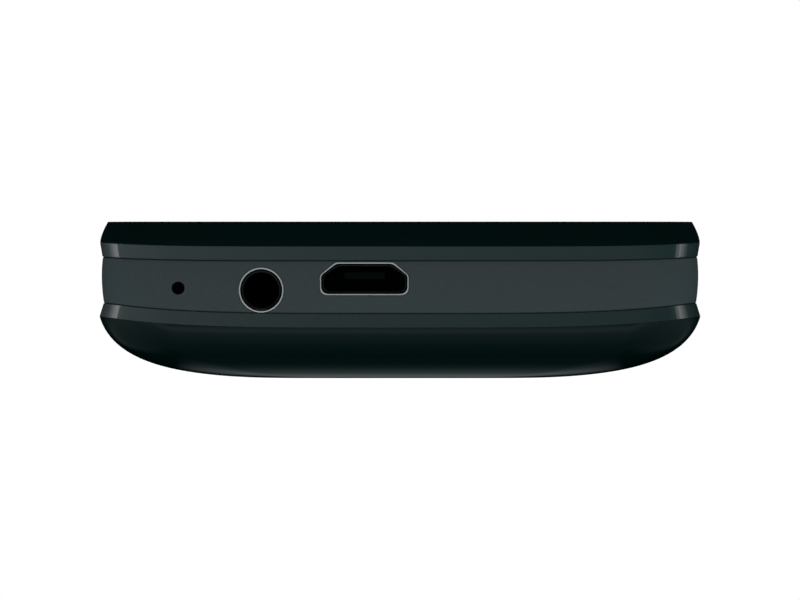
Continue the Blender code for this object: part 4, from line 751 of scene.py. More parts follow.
def make_back_bands():
    """The back's band in two lengths: one goes with the cover, the other stays on the rear end."""
    cover = back_band("cover_band")
    shape(cover, [beyond(COVER_REAR_Y)])
    claim(cover, "cover")
    tail = back_band("tail_band")
    shape(tail, [before(COVER_REAR_Y + COVER_JOINT_GAP)])
    claim(tail, "base")
    return [cover, tail]


def seam_lip(name, edge, places):
    """Lip of the front frame along a parting line, a closed ring through (inset, lift) places."""
    rings = []
    for inset, lift in places:
        flat = outline(HALF_WIDTH - inset, FRONT_Y + inset, HOUSING_REAR_Y - 0.5, CORNER_RADIUS - inset,
                       HOUSING_REAR_RADIUS)
        rings.append(level(flat, lambda x, lift=lift: edge(x) + lift))
    claim(loft(name, rings, (INNER,), wrap=True), "base")


def make_seam_lips():
    """Sealing lips of the front frame that close both parting lines a little way in."""
    top = UPPER_SEAM_GAP - LIP_GAP
    seam_lip("lower_lip", cover_rim, ((0.42, LIP_GAP), (1.1, LIP_GAP), (1.1, 0.4), (0.42, 0.4)))
    seam_lip("upper_lip", front_rim, ((0.33, -0.05), (0.9, -0.05), (0.9, top), (0.33, top)))


def make_rear_shell():
    """Chassis under the cover with its bays, and the gloss rear end that stays on the phone."""
    inset = COVER_WALL + 0.3
    lid = level(body_outline(inset), CHASSIS_TOP_Z)
    chassis = loft("rear_shell", back_rings(inset, INNER_BACK_STEPS) + [lid], (INNER, GLOSS))
    rings = outer_back() + [level(body_outline(COVER_WALL), CHASSIS_TOP_Z)]
    tail = loft("tail", rings, (INNER, GLOSS), [1] * (len(rings) - 1))
    shape(tail, [before(COVER_REAR_Y + COVER_JOINT_GAP)])
    shape(chassis, [tail], "UNION")
    shape(chassis, rear_cutters())
    claim(chassis, "base", ["rear_housing"])


def make_screws():
    """Six cross-head screws in the underside of the chassis, let in below its skin."""
    long, short = SCREW_ARM
    profile = ((SCREW_HEAD_RADIUS, SCREW_SEAT_Z), (SCREW_HEAD_RADIUS, SCREW_FACE_Z + 0.12),
               (SCREW_HEAD_RADIUS - 0.1, SCREW_FACE_Z + 0.02), (SCREW_HEAD_RADIUS - 0.25, SCREW_FACE_Z))
    for i, (x, y) in enumerate(SCREW_PLACES):
        screw = turned("chassis_screw_%d" % (i + 1), profile, (x, y, 0), Z_AXIS, (STEEL,), steps=48)
        shape(screw, [box("arm", (x - a, y - b, 0), (x + a, y + b, SCREW_FACE_Z + 0.22))
                      for a, b in ((long, short), (short, long))])
        claim(screw, "base")


def make_battery():
    """Battery: foil-wrapped cell with rounded edges and a moulded cap at the end with the contacts."""
    centre, half, low, high = plan("battery")
    sides = [(0.45, low), (0.13, low + 0.13), (0, low + 0.45)]
    sides += [(inset, low + high - height) for inset, height in sides[::-1]]
    split = centre[1] - half[1] + BATTERY_CAP_LENGTH
    cell = pad("battery_cell", centre, half, BATTERY_ROUND, sides, (WRAP,))
    shape(cell, [before(split)])
    claim(cell, "base", ["battery"])
    cap = pad("battery_cap", centre, half, BATTERY_ROUND, sides, (POLYMER,))
    shape(cap, [beyond(split)])
    claim(cap, "base")


def rear_cutters():
    """Battery bay, part trays, card opening, sound holes, camera seat, screw seats and hinge cradle."""
    room = PART_ROOM
    low, high = node_box("battery")
    cutters = [box("bay", low - (room, 0.4, FAR), high + (room, 0.4, 0.15)), box("part_tray", *PART_TRAY)]
    cutters += [box("side_slot", (x - SIDE_SLOT_HALF, SIDE_SLOT_ENDS[0], PART_TRAY[0][2]),
                    (x + SIDE_SLOT_HALF, SIDE_SLOT_ENDS[1], OVER)) for x in (-SIDE_SLOT_X, SIDE_SLOT_X)]
    centre, half, low, high = plan("loudspeaker")
    cutters.append(pad("rear_tray", (0, centre[1]), (REAR_TRAY_HALF, half[1] + 0.5), 1.2,
                       ((0, low - 0.15), (0, OVER))))
    cutters += [upright("sound_hole", (centre[0] + i * SOUND_HOLE_PITCH, centre[1]), SOUND_HOLE_RADIUS,
                        UNDER, low + 1, 32) for i in range(-2, 3)]
    glass = node_centre("camera_window")
    cutters += [upright("glass_seat", glass, CAMERA_GLASS_RADIUS + 0.15, UNDER, 0.75),
                upright("lens_hole", glass, LENS_RADIUS + 0.4, 0.6, 3)]
    for name, reach in (("sim_socket", room), ("battery_connector", 1.2)):
        low, high = node_box(name)
        cutters.append(box(name + "_room", low - (room, reach, room), high + (room, reach, OVER)))
    cutters.append(along_hinge("cradle", BARREL_RADIUS + 0.4, -FAR, FAR, 128))
    cutters.append(box("web_room", (-BARREL_HALF - room, HOUSING_REAR_Y - room, WEB_FOOT_Z - room),
                       (BARREL_HALF + room, HINGE_Y, OVER)))
    return cutters + [upright("screw_seat", place, SCREW_HEAD_RADIUS + 0.2, UNDER, SCREW_SEAT_Z, 48)
                      for place in SCREW_PLACES]


def middle_outline(inset):
    """Middle band seen from above, set in at its front and sides."""
    return outline(HALF_WIDTH - inset, FRONT_Y + inset, HOUSING_REAR_Y, CORNER_RADIUS - inset,
                   HOUSING_REAR_RADIUS)


def middle_side(share):
    """Inset of the middle band at a share of its height: a parabola through its three insets."""
    foot, belly, top = MIDDLE_INSETS
    return foot + (4 * belly - 3 * foot - top) * share + (2 * foot + 2 * top - 4 * belly) * share ** 2


def front_rim(x):
    """Upper edge of the middle band."""
    return upper_seam(x) - UPPER_SEAM_GAP / 2


def front_foot(x):
    """Lower edge of the middle band."""
    return lower_seam(x) + LOWER_SEAM_GAP / 2


def front_level(share):
    """Height function at a share of the way from the middle band's foot to its rim."""
    return lambda x: front_foot(x) + (front_rim(x) - front_foot(x)) * share


def deck_outline(inset):
    """Keypad deck seen from above, set in all round."""
    return outline(DECK_HALF_WIDTH - inset, CHIN_Y + inset, HOUSING_REAR_Y - HOUSING_REAR_RADIUS - inset,
                   DECK_RADIUS - inset, HOUSING_REAR_RADIUS - inset)


def node_box(name):
    """Lowest and highest corner of a CAD node, in millimetres."""
    low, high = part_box(name)
    return np.array(low) / MM, np.array(high) / MM


def plan(name):
    """Centre of a CAD node, its half size seen from above, and its lowest and highest height."""
    low, high = node_box(name)
    return (low + high) / 2, (high - low)[:2] / 2, low[2], high[2]


def node_centre(name):
    """Centre of a CAD node, in millimetres."""
    return plan(name)[0]


def socket_centre(name):
    """Centre of a socket, moved by a hair to where the photograph shows it."""
    return node_centre(name) + np.array(SOCKET_SHIFTS[name])


def usb_outline(width, height):
    """Receptacle from the front: flat top, slanted shoulders, each corner rounded by a quadratic curve."""
    half, top_share, side_share = width / 2, *USB_SLANT_SHARES
    top = height / 2
    corners = np.array([(0, top), (half * top_share, top), (half, top - height * side_share), (half, -top),
                        (0, -top)])
    t = np.linspace(0, 1, CORNER_DOTS)[:, None]
    right = []
    for i, cut in zip((1, 2, 3), USB_CORNER_CUTS):
        corner = corners[i]
        runs = corners[[i - 1, i + 1]] - corner
        start, end = corner + cut * runs / np.linalg.norm(runs, axis=1)[:, None]
        right.append((1 - t) ** 2 * start + 2 * t * (1 - t) * corner + t * t * end)
    right = np.vstack(right)
    return np.vstack([right, right[::-1] * (-1, 1)])


def along_y(flat, centre, y):
    """An outline (x, z) stood across the Y axis."""
    return np.column_stack([centre[0] + flat[:, 0], np.full(len(flat), y), centre[2] + flat[:, 1]])


def port_tools():
    """Cutters for the USB mouth, the headphone socket and the microphone hole."""
    usb, jack, mic = (socket_centre(name) for name in ("usb_receptacle", "headphone_jack", "microphone"))
    start = FRONT_Y - 1
    usb_end, jack_end = PORT_FACE_Y + USB_DEPTH + 0.1, PORT_FACE_Y + JACK_BORE_DEPTH + 0.15
    mouth = usb_outline(*(size + 2 * SOCKET_MOUTH_FIT for size in USB_LIP))
    return [loft("usb_mouth", [along_y(mouth, usb, y) for y in (start, usb_end)], ()),
            inward("jack_mouth", jack, JACK_RING_RADIUS + 0.04, start, jack_end, 128),
            inward("mic_mouth", mic, MIC_HOLE_RADIUS, start, FRONT_Y + 3)]


def make_front_frame():
    """Middle band and keypad deck in one shell, with the chin's hollow and the two outer knuckles."""
    inner = outline(HALF_WIDTH - MIDDLE_WALL, FRONT_Y + MIDDLE_WALL, HOUSING_REAR_Y - HOUSING_REAR_RADIUS,
                    CORNER_RADIUS - MIDDLE_WALL, HOUSING_REAR_RADIUS)
    rings = [level(inner, DECK_UNDER_Z), level(inner, front_foot)]
    edge = EDGE / (UPPER_SEAM_Z - LOWER_SEAM_Z)
    foot_inset, _, top_inset = MIDDLE_INSETS
    sides = [(foot_inset + EDGE, 0.0), (foot_inset + 0.3 * EDGE, 0.3 * edge)]
    sides += [(middle_side(share), share) for share in np.linspace(edge, 1 - edge, 13)]
    sides += [(top_inset + 0.3 * EDGE, 1 - 0.3 * edge), (top_inset + EDGE, 1.0)]
    rings += levels(middle_outline, [(inset, front_level(share)) for inset, share in sides])
    flat = front_rim(np.zeros(1))[0]
    rings += levels(deck_outline, ((-0.2, flat), (-0.06, flat - 0.02), (0.0, flat - 0.09),
                                   (0.0, DECK_TOP_Z + 0.12), (0.03, DECK_TOP_Z + 0.03), (0.12, DECK_TOP_Z)))
    shell = loft("front_frame", rings, (FRAME,))
    add_knuckles(shell)
    shape(shell, port_tools() + key_tools() + side_key_tools())
    claim(shell, "base", ["front_housing"])


def add_knuckles(shell):
    """Joins the two outer hinge barrels with their webs and opens the cradle of the lid's barrel."""
    inner = KNUCKLE_HALF + KNUCKLE_GAP
    root = HOUSING_REAR_Y - HOUSING_REAR_RADIUS - 0.5
    tools = []
    for low, high in ((-BARREL_HALF, -inner), (inner, BARREL_HALF)):
        tools += [box("web", (low, root, WEB_FOOT_Z), (high, HINGE_Y, UPPER_SEAM_Z - 0.2)),
                  knuckle("barrel", low, high, BARREL_RADIUS)]
    shape(shell, tools, "UNION")
    cradle = along_hinge("lid_cradle", LID_BARREL_RADIUS + 0.4, -inner, inner, 128)
    shape(shell, [cradle] + hinge_bores(*HOUSING_BORE_ENDS))


def pad_outline(centre, half, radius, steps=8):
    """Small rounded rectangle: four quarter circles, counter-clockwise."""
    angle = np.arange(4)[:, None] * np.pi / 2 + np.linspace(0, np.pi / 2, steps + 1)
    side_x = np.array([1, -1, -1, 1])[:, None]
    side_y = np.array([1, 1, -1, -1])[:, None]
    x = centre[0] + side_x * (half[0] - radius) + radius * np.cos(angle)
    y = centre[1] + side_y * (half[1] - radius) + radius * np.sin(angle)
    return np.column_stack([x.ravel(), y.ravel()])


def pad(name, centre, half, radius, sections, materials=()):
    """Rounded rectangular block: each section is (inset, height)."""
    half = np.asarray(half)
    rings = levels(lambda inset: pad_outline(centre, half - inset, max(radius - inset, 0.02)), sections)
    return loft(name, rings, materials)


def cap_plan(name):
    """A key's plan with the half size of its cap, which is without its flange."""
    centre, half, low, high = plan(name)
    return centre, half - KEY_FLANGE, low, high


def key_tools():
    """Cutters for the keys' and the navigation ring's openings in the deck."""
    low, high = DECK_UNDER_Z - 0.3, DECK_TOP_Z + 1
    tools = []
    for name in KEY_NAMES:
        centre, half = cap_plan(name)[:2]
        tools.append(pad(name + "_hole", centre, half + KEY_FIT, KEY_ROUND + KEY_FIT, ((0, low), (0, high))))
    centre, half = cap_plan("nav_ring")[:2]
    return tools + [upright("nav_hole", centre, half[0] + KEY_FIT, low, high, 128)]


def side_key_tools():
    """Cutters for the side keys' openings in the middle band."""
    tools = []
    for name in SIDE_KEYS:
        low, high = node_box(name)
        side = math.copysign(1, low[0])
        near, far = sorted((side * (HALF_WIDTH - 2.3), side * (HALF_WIDTH + 1)))
        reach = SIDE_KEY_FOOT - 0.35
        tools.append(box(name + "_hole", (near, low[1] + reach, low[2] - 0.15),
                         (far, high[1] - reach, high[2] + 0.15)))
    return tools


def make_usb():
    """Stamped receptacle shell with its flared lip; the contact tongue inside it is the CAD's."""
    centre = socket_centre("usb_receptacle")
    throat, rear = PORT_FACE_Y + USB_LIP_DEPTH, PORT_FACE_Y + USB_DEPTH
    outside, lip, neck, inside = (usb_outline(*size) for size in (USB_SHELL, USB_LIP, USB_NECK, USB_INSIDE))
    crown, mouth = (usb_outline(*(size - walls * USB_WALL for size in USB_LIP)) for walls in (0.4, 1.05))
    rings = [(outside, rear), (outside, throat), (lip, PORT_FACE_Y + 0.06), (crown, PORT_FACE_Y),
             (mouth, PORT_FACE_Y), (mouth, PORT_FACE_Y + 0.12), (neck, throat - 0.25),
             (inside, throat - 0.24), (inside, rear - USB_WALL)]
    # Rows run from the outside in: nickel outside, pale tin on the lip and mouth (partly a painted highlight
    # on the rim), then flat black polymer and moulded ABS on the shell's plated inside walls as painted
    # shade.
    shell = loft("usb_shell", [along_y(flat, centre, y) for flat, y in rings], (NICKEL, POLYMER, TIN_WITH_PAINTED_GLINT, INNER),
                 [0, 0, 2, 2, 2, 1, 3, 1], (0, 1))
    claim(shell, "base", ["usb_receptacle"])


def make_jack():
    """Headphone socket: plated ring in the mouth, a black bore, and the body behind it."""
    low, high = node_box("headphone_jack")
    centre = socket_centre("headphone_jack")
    ring, lip, bore, leaf = JACK_RING_RADIUS, JACK_LIP_RADIUS, JACK_BORE_RADIUS, JACK_LEAF_RADIUS
    depths = ((leaf, JACK_BORE_DEPTH - 0.1), (leaf, 0.75), (bore, 0.7), (bore, 0.5), (lip, 0.05),
              (lip + 0.03, 0), (ring - 0.04, 0), (ring, 0.04), (ring, JACK_BORE_DEPTH + 0.1))
    # The mouth rows get the pale tin: the plating's own grey, brightened into a painted highlight on the
    # ring.
    sleeve = turned("jack_sleeve", [(radius, PORT_FACE_Y + depth) for radius, depth in depths],
                    (centre[0], 0, centre[2]), Y_AXIS, (POLYMER, TIN_WITH_PAINTED_GLINT, INNER), [0, 2, 0, 0, 1, 1, 1, 0],
                    steps=128)
    back = box("jack_body", (low[0], FRONT_Y + MIDDLE_WALL + 0.15, low[2]), high, (POLYMER,))
    shape(back, [inward("jack_room", centre, ring - 0.01, PORT_FACE_Y, PORT_FACE_Y + JACK_BORE_DEPTH)])
    claim(sleeve, "base")
    claim(back, "base", ["headphone_jack"])


def word(name, text, centre, size, top, ink):
    """Raised print on a key: letters as a thin mesh."""
    curve = bpy.data.curves.new(name, "FONT")
    curve.body = text
    curve.size = size
    curve.align_x = curve.align_y = "CENTER"
    curve.extrude = LEGEND_RISE
    curve.resolution_u = 6
    holder = put(name, curve)
    bpy.context.view_layer.update()
    mesh = bpy.data.meshes.new_from_object(holder.evaluated_get(bpy.context.evaluated_depsgraph_get()))
    bpy.data.objects.remove(holder, do_unlink=True)
    mesh.transform(Matrix.Translation(Vector((centre[0], centre[1], top)) * MM) @ Matrix.Scale(MM, 4))
    mesh.materials.clear()
    mesh.materials.append(ink)
    made = put(name, mesh)
    tidy_mesh(made)
    return made


def flat_mark(name, path, half_width, top, ink):
    """Raised printed line: a path of points given a width, with a half height each way."""
    path = np.asarray(path, dtype=float)
    along = np.gradient(path, axis=0)
    along /= np.linalg.norm(along, axis=1)[:, None]
    across = np.column_stack([-along[:, 1], along[:, 0]]) * np.broadcast_to(half_width, len(path))[:, None]
    flat = np.vstack([path + across, (path - across)[::-1]])
    return loft(name, [level(flat, top - LEGEND_RISE), level(flat, top + LEGEND_RISE)], (ink,))


def handset(name, centre, top, ink, turn):
    """Telephone sign: an arc that is thick at its two ends."""
    angle = np.radians(np.linspace(215, 325, 23) + turn)
    share = np.abs(np.linspace(-1, 1, 23))
    path = np.column_stack([centre[0] + HANDSET_RADIUS * np.cos(angle),
                            centre[1] + 1.1 + HANDSET_RADIUS * np.sin(angle)])
    return flat_mark(name, path, 0.28 + 0.32 * np.clip(share * 4 - 2.6, 0, 1), top, ink)


def dome_sections(inset_to, top):
    """Sections over a key's crown: a quarter round at the edge, then a dome of the square of its reach."""
    low = top - KEY_CROWN
    sections = [(across, low - KEY_SHOULDER + up) for across, up in round_over(KEY_SHOULDER)]
    return sections + [(KEY_SHOULDER + (inset_to - KEY_SHOULDER) * s, low + KEY_CROWN * (1 - (1 - s) ** 2))
                       for s in np.linspace(0, 1, 9)[1:]]


def make_key(name):
    """Moulded key cap with a broken edge and a crowned top, over the flange that holds it."""
    centre, half, low, high = cap_plan(name)
    flange_top = low + KEY_FLANGE_THICKNESS
    sections = [(-KEY_FLANGE, low), (-KEY_FLANGE, flange_top), (0, flange_top)]
    sections += dome_sections(min(half) - 0.3, high)
    claim(pad(name + "_cap", centre, half, KEY_ROUND, sections, (KEYS,)), name, [name])
    for mark in key_marks(name, centre, high):
        claim(mark, name)


def key_marks(name, centre, top):
    """What is printed on a key: a telephone sign, a dash, or a digit with its letters."""
    if name == "key_call":
        return [handset("call_sign", centre, top, GREEN_INK, 0)]
    if name == "key_end":
        return [handset("end_sign", (centre[0], centre[1] - 1.6), top, RED_INK, 180)]
    if name.startswith("soft"):
        dash = [(centre[0] + x, centre[1] + DASH_UP) for x in (-DASH_HALF, 0, DASH_HALF)]
        return [flat_mark(name + "_dash", dash, 0.22, top - LEGEND_RISE, WHITE_INK)]
    digit, letters = LEGENDS[name]
    place = (centre[0] - (DIGIT_LEFT if letters else 0), centre[1])
    marks = [word(name + "_digit", digit, place, DIGIT_SIZE, top, WHITE_INK)]
    if letters:
        place = (centre[0] + LETTERS_RIGHT, centre[1])
        marks.append(word(name + "_letters", letters, place, LETTER_SIZE, top - LEGEND_RISE / 2, WHITE_INK))
    return marks


def make_navigation():
    """Domed OK key in a four-way ring with arrows; the ring's top dips inwards with the cube of its reach."""
    centre, half, low, top = cap_plan("nav_ring")
    outer, bore, flange_top = half[0], NAV_BORE_RADIUS, low + NAV_FLANGE_THICKNESS
    profile = [(bore, low), (outer + KEY_FLANGE, low), (outer + KEY_FLANGE, flange_top), (outer, flange_top)]
    profile += [(outer - across, top - 0.5 + up) for across, up in round_over(KEY_SHOULDER)]
    profile += [(outer - KEY_SHOULDER - (outer - bore - 0.6) * s,
                 top - 0.15 + 0.15 * math.sin(math.pi * s * 0.5) - NAV_DIP * s ** 3)
                for s in np.linspace(0, 1, 14)[1:]]
    profile += [(bore + 0.05, top - 0.5), (bore, top - 0.62)]
    ring = turned("ring_cap", profile, foot(centre), Z_AXIS, (KEYS,), steps=128, wrap=True)
    claim(ring, "nav_ring", ["nav_ring"])
    for i in range(4):
        away = np.array([math.cos(i * math.pi / 2), math.sin(i * math.pi / 2)])
        side = np.array([-away[1], away[0]])
        path = [centre[:2] + away * (ARROW_REACH + out) + side * along
                for along, out in ((-0.9, 0), (-0.45, 0.28), (0, 0.6), (0.45, 0.28), (0.9, 0))]
        claim(flat_mark("arrow_%d" % i, path, 0.16, top - LEGEND_RISE, WHITE_INK), "nav_ring")
    _, (radius, _), low, high = plan("ok_key")
    sections = [(0, low)] + dome_sections(radius - 0.05, high)
    dome = [(radius - inset, height) for inset, height in sections]
    claim(turned("ok_cap", dome, foot(centre), Z_AXIS, (KEYS,)), "ok_key", ["ok_key"])


def make_side_key(name):
    """Pill-shaped side key: rounded cap through the wall, wider foot inside, and a waist when it rocks."""
    low, high = node_box(name)
    side = math.copysign(1, low[0])
    near, face = sorted((abs(low[0]), abs(high[0])))
    middle_z, middle_y = ((low + high) / 2)[[2, 1]]
    half = ((high - low) / 2)[[2, 1]]
    step = near + SIDE_KEY_FOOT
    sections = [(0.0, 0.0, near), (0.0, 0.0, step), (SIDE_KEY_FOOT, 0.0, step)]
    sections += [(SIDE_KEY_FOOT + edge, edge, face - SIDE_KEY_ROUND + up)
                 for edge, up in round_over(SIDE_KEY_ROUND)]
    rings = []
    for end, edge, x in sections:
        radius = max(half[0] - SIDE_KEY_ROUND - edge, 0.1)
        z, y = pad_outline((middle_z, middle_y), (half[0] - edge, half[1] - end), radius).T
        rings.append(np.column_stack([np.full(len(y), side * x), y, z]))
    cap = loft(name + "_cap", rings, (SATIN,))
    if name == "volume_rocker":
        place = (side * (face + WAIST_RADIUS - WAIST_DEPTH), middle_y)
        shape(cap, [upright("waist", place, WAIST_RADIUS, 0, OVER, 64)])
    claim(cap, name, [name])


def make_lid_inner():
    """Inner housing of the lid, with its window seat, sound slot and bumper pockets."""
    _, _, low, high = plan("lid_inner_housing")
    edge = LID_FACE_INSET
    sections = ((edge + EDGE, low), (edge + 0.3 * EDGE, low + 0.3 * EDGE), (edge, low + EDGE), (edge, high))
    plate = loft("lid_inner", levels(lid_outline, sections), (FRAME,))
    centre, half, _, top = plan("main_display_window")
    through = ((0, low - 1), (0, high + 1))
    tools = [pad("seat", centre, half + WINDOW_FIT, MAIN_WINDOW[0] + 0.1, ((0, low - 1), (0, top + 0.15))),
             pad("hole", centre, half - MAIN_VIEW_INSET, 1.1, through),
             pad("slot", node_centre("earpiece_receiver"), EARPIECE_SLOT, 0.5, through)]
    tools += [upright(name + "_pocket", node_centre(name), BUMPER_RADIUS + 0.1, low - 1, low + 0.4, 48)
              for name in BUMPERS]
    shape(plate, tools)
    claim(plate, "lid", ["lid_inner_housing"])


def make_window(name, node, radius, border, facing):
    """Black-bordered window plate with polished edges; the panel is the middle of its outer face."""
    centre, half, low, high = plan(node)
    face, back = (high, low) if facing > 0 else (low, high)
    sections = [(0.02, back), (0, back + facing * 0.02), (0, face - facing * 0.08),
                (0.03, face - facing * 0.02), (0.1, face)]
    rings = levels(lambda inset: pad_outline(centre, half - inset, radius - inset), sections)
    rings.append(level(pad_outline(centre, half - border, radius * 0.3), face))
    window = loft(name, rings, (WINDOW, PANEL), None, (0, 1))
    claim(window, "lid", [node])


def make_bumper(name):
    """Small rubber bumper with a domed face towards the deck."""
    centre, _, low, high = plan(name)
    profile = [(BUMPER_RADIUS, high)]
    profile += [(BUMPER_RADIUS - across, low + 0.12 - 0.4 * up) for across, up in round_over(0.3, 7)]
    bumper = turned(name + "_rubber", profile, foot(centre), Z_AXIS, (SILICONE,), steps=48)
    claim(bumper, "lid", [name])


def make_grille():
    """Woven steel mesh behind the earpiece slot."""
    low = LID_INNER_FACE_Z + 0.35
    half = np.array(EARPIECE_SLOT) - 0.05
    place = node_centre("earpiece_receiver")
    claim(pad("earpiece_mesh", place, half, 0.45, ((0, low), (0, low + 0.1)), (STEEL,)), "lid")


def make_hinge_cap(name, side):
    """Turned cap over the outer hinge end: rounded rim and a shallow dished face."""
    near = BARREL_HALF + 0.15
    rim = near + HINGE_CAP_ROUND
    places = [(BARREL_RADIUS, near)]
    places += [(BARREL_RADIUS - across, rim + up) for across, up in round_over(HINGE_CAP_ROUND, 9)]
    places += [(radius, rim + HINGE_CAP_ROUND - dip) for radius, dip in HINGE_CAP_DISH]
    cap = turned(name + "_disc", [(r, side * x) for r, x in places], HINGE_AXIS, X_AXIS, (SATIN,))
    claim(cap, "base", [name])


def make_camera_glass():
    """Camera window: black-backed glass with a clear lens in its middle and a thin plated ring round it."""
    centre, _, low, high = plan("camera_window")
    edge = CAMERA_GLASS_RADIUS
    profile = [(edge, high), (edge, low + 0.08), (edge - 0.08, low), (LENS_RADIUS, low),
               (LENS_RADIUS - 0.05, low + 0.06), (0.05, low + 0.02)]
    glass = turned("camera_glass", profile, foot(centre), Z_AXIS, (WINDOW, PANEL), [0, 0, 0, 1, 1])
    claim(glass, "base", ["camera_window"])
    profile = [(edge + 0.13, 0.5), (edge + 0.13, low - 0.04), (edge + 0.1, low - 0.07),
               (edge + 0.04, low - 0.07), (edge + 0.02, low - 0.04), (edge + 0.02, 0.5)]
    claim(turned("camera_ring", profile, foot(centre), Z_AXIS, (NICKEL,), wrap=True), "base")


def finish_nodes():
    """Gives every CAD node that stays in view its real finish."""
    for material, names in NODE_FINISHES:
        for name in names:
            mesh = frame["nodes"][name].data
            if mesh.materials:
                for i in range(len(mesh.materials)):
                    mesh.materials[i] = material
            else:
                mesh.materials.append(material)


def make_camera():
    """Camera straight in front of the ports, far away, as the photograph was taken."""
    data = bpy.data.cameras.new("camera")
    data.sensor_width = 36.0
    data.lens = CAMERA_LENS
    data.clip_start, data.clip_end = 0.01, 20.0
    camera = put("camera", data)
    camera.location = (0, (FRONT_Y - CAMERA_DISTANCE) * MM, CAMERA_HEIGHT_Z * MM)
    camera.rotation_euler = (math.pi / 2, 0, 0)
    bpy.context.scene.camera = camera


def area_light(name, size, power, place, turn, glazed):
    """Rectangular area light that only the glazed pieces receive."""
    data = bpy.data.lights.new(name, "AREA")
    data.shape = "RECTANGLE"
    data.size, data.size_y = (value * MM for value in size)
    data.energy = power
    lamp = put(name, data)
    lamp.location = place * MM
    lamp.rotation_euler = turn
    lamp.light_linking.receiver_collection = glazed
    return lamp


def glow_ramp(tree, source, stops):
    """Brightness by the sine of a direction's elevation, from (sine, brightness) stops in rising order."""
    ramp = add_node(tree, "ShaderNodeValToRGB", {}, {"Fac": remap(tree, source, -1.0, 1.0)})
    elements = ramp.color_ramp.elements
    elements.remove(elements[1])
    for i, (sine, value) in enumerate(stops):
        element = elements[0] if i == 0 else elements.new((sine + 1) / 2)
        element.position = (sine + 1) / 2
        element.color = (value, value, value, 1)
    return ramp.outputs["Color"]


def math_of(tree, operation, *sources):
    """One sum on shader values, with its sources linked in turn."""
    return add_node(tree, "ShaderNodeMath", {}, dict(enumerate(sources)), operation=operation).outputs[0]


def light(tree, kind, colour, strength):
    """Shader that gives off a colour, with a number or a linked value for its strength."""
    fixed = isinstance(strength, float)
    values = {"Color": linear(colour), **({"Strength": strength} if fixed else {})}
    return add_node(tree, kind, values, {} if fixed else {"Strength": strength}).outputs[0]


def choose(tree, factor, otherwise, chosen):
    """Second shader where the factor is one, else the first."""
    return add_node(tree, "ShaderNodeMixShader", {}, {0: factor, 1: otherwise, 2: chosen}).outputs[0]


def between(tree, factor, first, second):
    """Value that goes from the first to the second with the factor."""
    return add_node(tree, "ShaderNodeMix", {}, {"Factor": factor, "A": first, "B": second}).outputs["Result"]


def make_world():
    """Studio that the eye sees as white, that lights the phone evenly and that its gloss sees as mostly dark.

    What gloss mirrors depends on the direction alone: a soft glow low in front of the phone that goes over
    to a flatter one at its sides and fades rearwards, and a broad glow behind the phone's middle.
    """
    world = bpy.data.worlds.new("studio")
    world.use_nodes = True
    bpy.context.scene.world = world
    tree = world.node_tree
    tree.nodes.clear()
    way = add_node(tree, "ShaderNodeTexCoord").outputs["Generated"]
    across, along, up = add_node(tree, "ShaderNodeSeparateXYZ", {}, {"Vector": way}).outputs
    front, side, back = (glow_ramp(tree, up, stops) for stops in (FRONT_GLOW, SIDE_GLOW, BACK_GLOW))
    sideways = math_of(tree, "ABSOLUTE", across)
    around = between(tree, sideways, front, side)
    faded = math_of(tree, "MULTIPLY", around, remap(tree, along, *REAR_FADE))
    behind = math_of(tree, "MULTIPLY", remap(tree, along, *BACK_START), remap(tree, sideways, *BACK_SIDES))
    slant = math_of(tree, "DIVIDE", sideways, up)
    trimmed = math_of(tree, "MULTIPLY", back, remap(tree, slant, *BACK_TRIM))
    both = between(tree, behind, faded, trimmed)
    mirrored = light(tree, "ShaderNodeBackground", "eafcff", both)
    even = light(tree, "ShaderNodeBackground", "ffffff", glow_ramp(tree, up, ROOM_LIGHT))
    seen = light(tree, "ShaderNodeBackground", "ffffff", 1.0)
    path = add_node(tree, "ShaderNodeLightPath").outputs
    lit = choose(tree, path["Is Glossy Ray"], even, mirrored)
    surface = choose(tree, path["Is Camera Ray"], lit, seen)
    add_node(tree, "ShaderNodeOutputWorld", {}, {"Surface": surface})


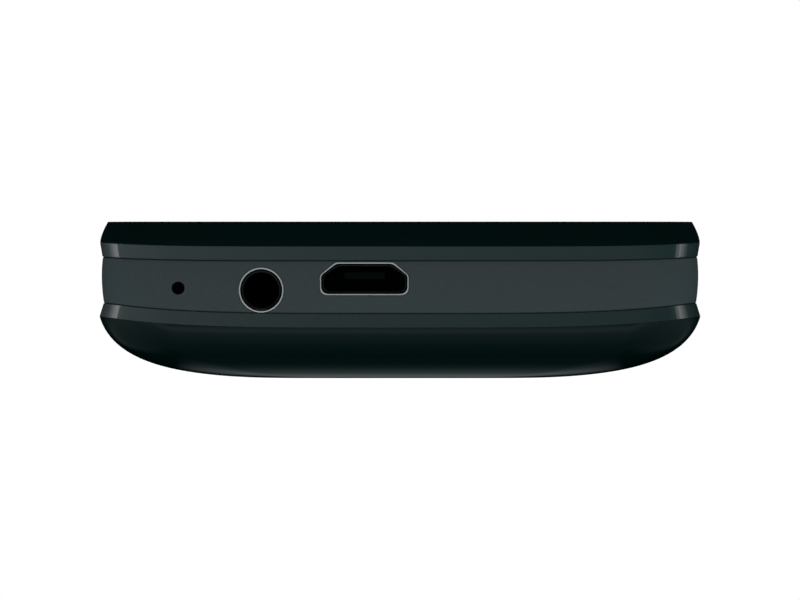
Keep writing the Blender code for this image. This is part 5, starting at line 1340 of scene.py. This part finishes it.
def make_floor():
    """Pale paper under the phone, white to the eye; gloss doesn't see it."""
    mesh = bpy.data.meshes.new("floor")
    flat = np.array([(-1, -1), (1, -1), (1, 1), (-1, 1)]) * PAPER_HALF
    mesh.from_pydata((level(flat, -0.02) * MM).tolist(), [], [(0, 1, 2, 3)])
    floor = put("floor", mesh)
    made = bpy.data.materials.new("studio_paper")
    made.use_nodes = True
    tree = made.node_tree
    tree.nodes.clear()
    paper = add_node(tree, "ShaderNodeBsdfDiffuse", {"Color": linear("f2f2f2")}).outputs[0]
    glow = light(tree, "ShaderNodeEmission", "ffffff", PAPER_GLOW)
    bright = add_node(tree, "ShaderNodeMixShader", {0: PAPER_GLOW_SHARE}, {1: paper, 2: glow}).outputs[0]
    dim = light(tree, "ShaderNodeEmission", "ffffff", PAPER_BOUNCE)
    path = add_node(tree, "ShaderNodeLightPath").outputs
    surface = choose(tree, path["Is Camera Ray"], dim, bright)
    add_node(tree, "ShaderNodeOutputMaterial", {}, {"Surface": surface})
    mesh.materials.append(made)
    floor.visible_glossy = False


def make_strips(start, shares, glazed):
    """Tall strip lights beside the phone, each further back and dimmer, flagged off from all but the bands.

    They stand at an azimuth measured from -Y towards -X and face the phone.
    """
    lift = math.radians(STRIP_ELEVATION)
    for i, share in enumerate(shares):
        turn = math.radians(start + i * math.copysign(STRIP_STEP, start))
        away = Vector((-math.sin(turn) * math.cos(lift), -math.cos(turn) * math.cos(lift), math.sin(lift)))
        place = away * STRIP_DISTANCE + Vector((0, 0, CAMERA_HEIGHT_Z))
        strip = area_light("strip", STRIP_SIZE, STRIP_POWER * share, place,
                           away.to_track_quat("Z", "Y").to_euler(), glazed)
        strip.visible_diffuse = False


def make_side_lamp(glazed):
    """Lamp close to the left end: the bands get darker from left to right."""
    lamp = area_light("side_lamp", SIDE_LAMP_SIZE, SIDE_LAMP_POWER, Vector(SIDE_LAMP_PLACE),
                      (math.pi / 2, 0, 0), glazed)
    lamp.data.color = linear("ff9a9a")[:3]
    lamp.visible_glossy = False


bpy.context.scene.view_settings.view_transform = "Standard"
make_lid_shell()
bands = [make_lid_band()]
make_back_shell()
bands += make_back_bands()
make_seam_lips()
make_rear_shell()
make_front_frame()
make_usb()
make_jack()
for name in KEY_NAMES:
    make_key(name)
make_navigation()
for name in SIDE_KEYS:
    make_side_key(name)
make_lid_inner()
make_window("main_window", "main_display_window", *MAIN_WINDOW, -1)
make_window("outer_window", "outer_display_window", *OUTER_WINDOW, 1)
for name in BUMPERS:
    make_bumper(name)
make_grille()
make_hinge_cap("hinge_cap_left", -1)
make_hinge_cap("hinge_cap_right", 1)
make_camera_glass()
make_screws()
make_battery()
finish_nodes()
make_camera()
make_world()
make_floor()
glazed = bpy.data.collections.new("glazed")
for band in bands:
    glazed.objects.link(band)
make_strips(*LEFT_STRIPS, glazed)
make_strips(*RIGHT_STRIPS, glazed)
make_side_lamp(glazed)
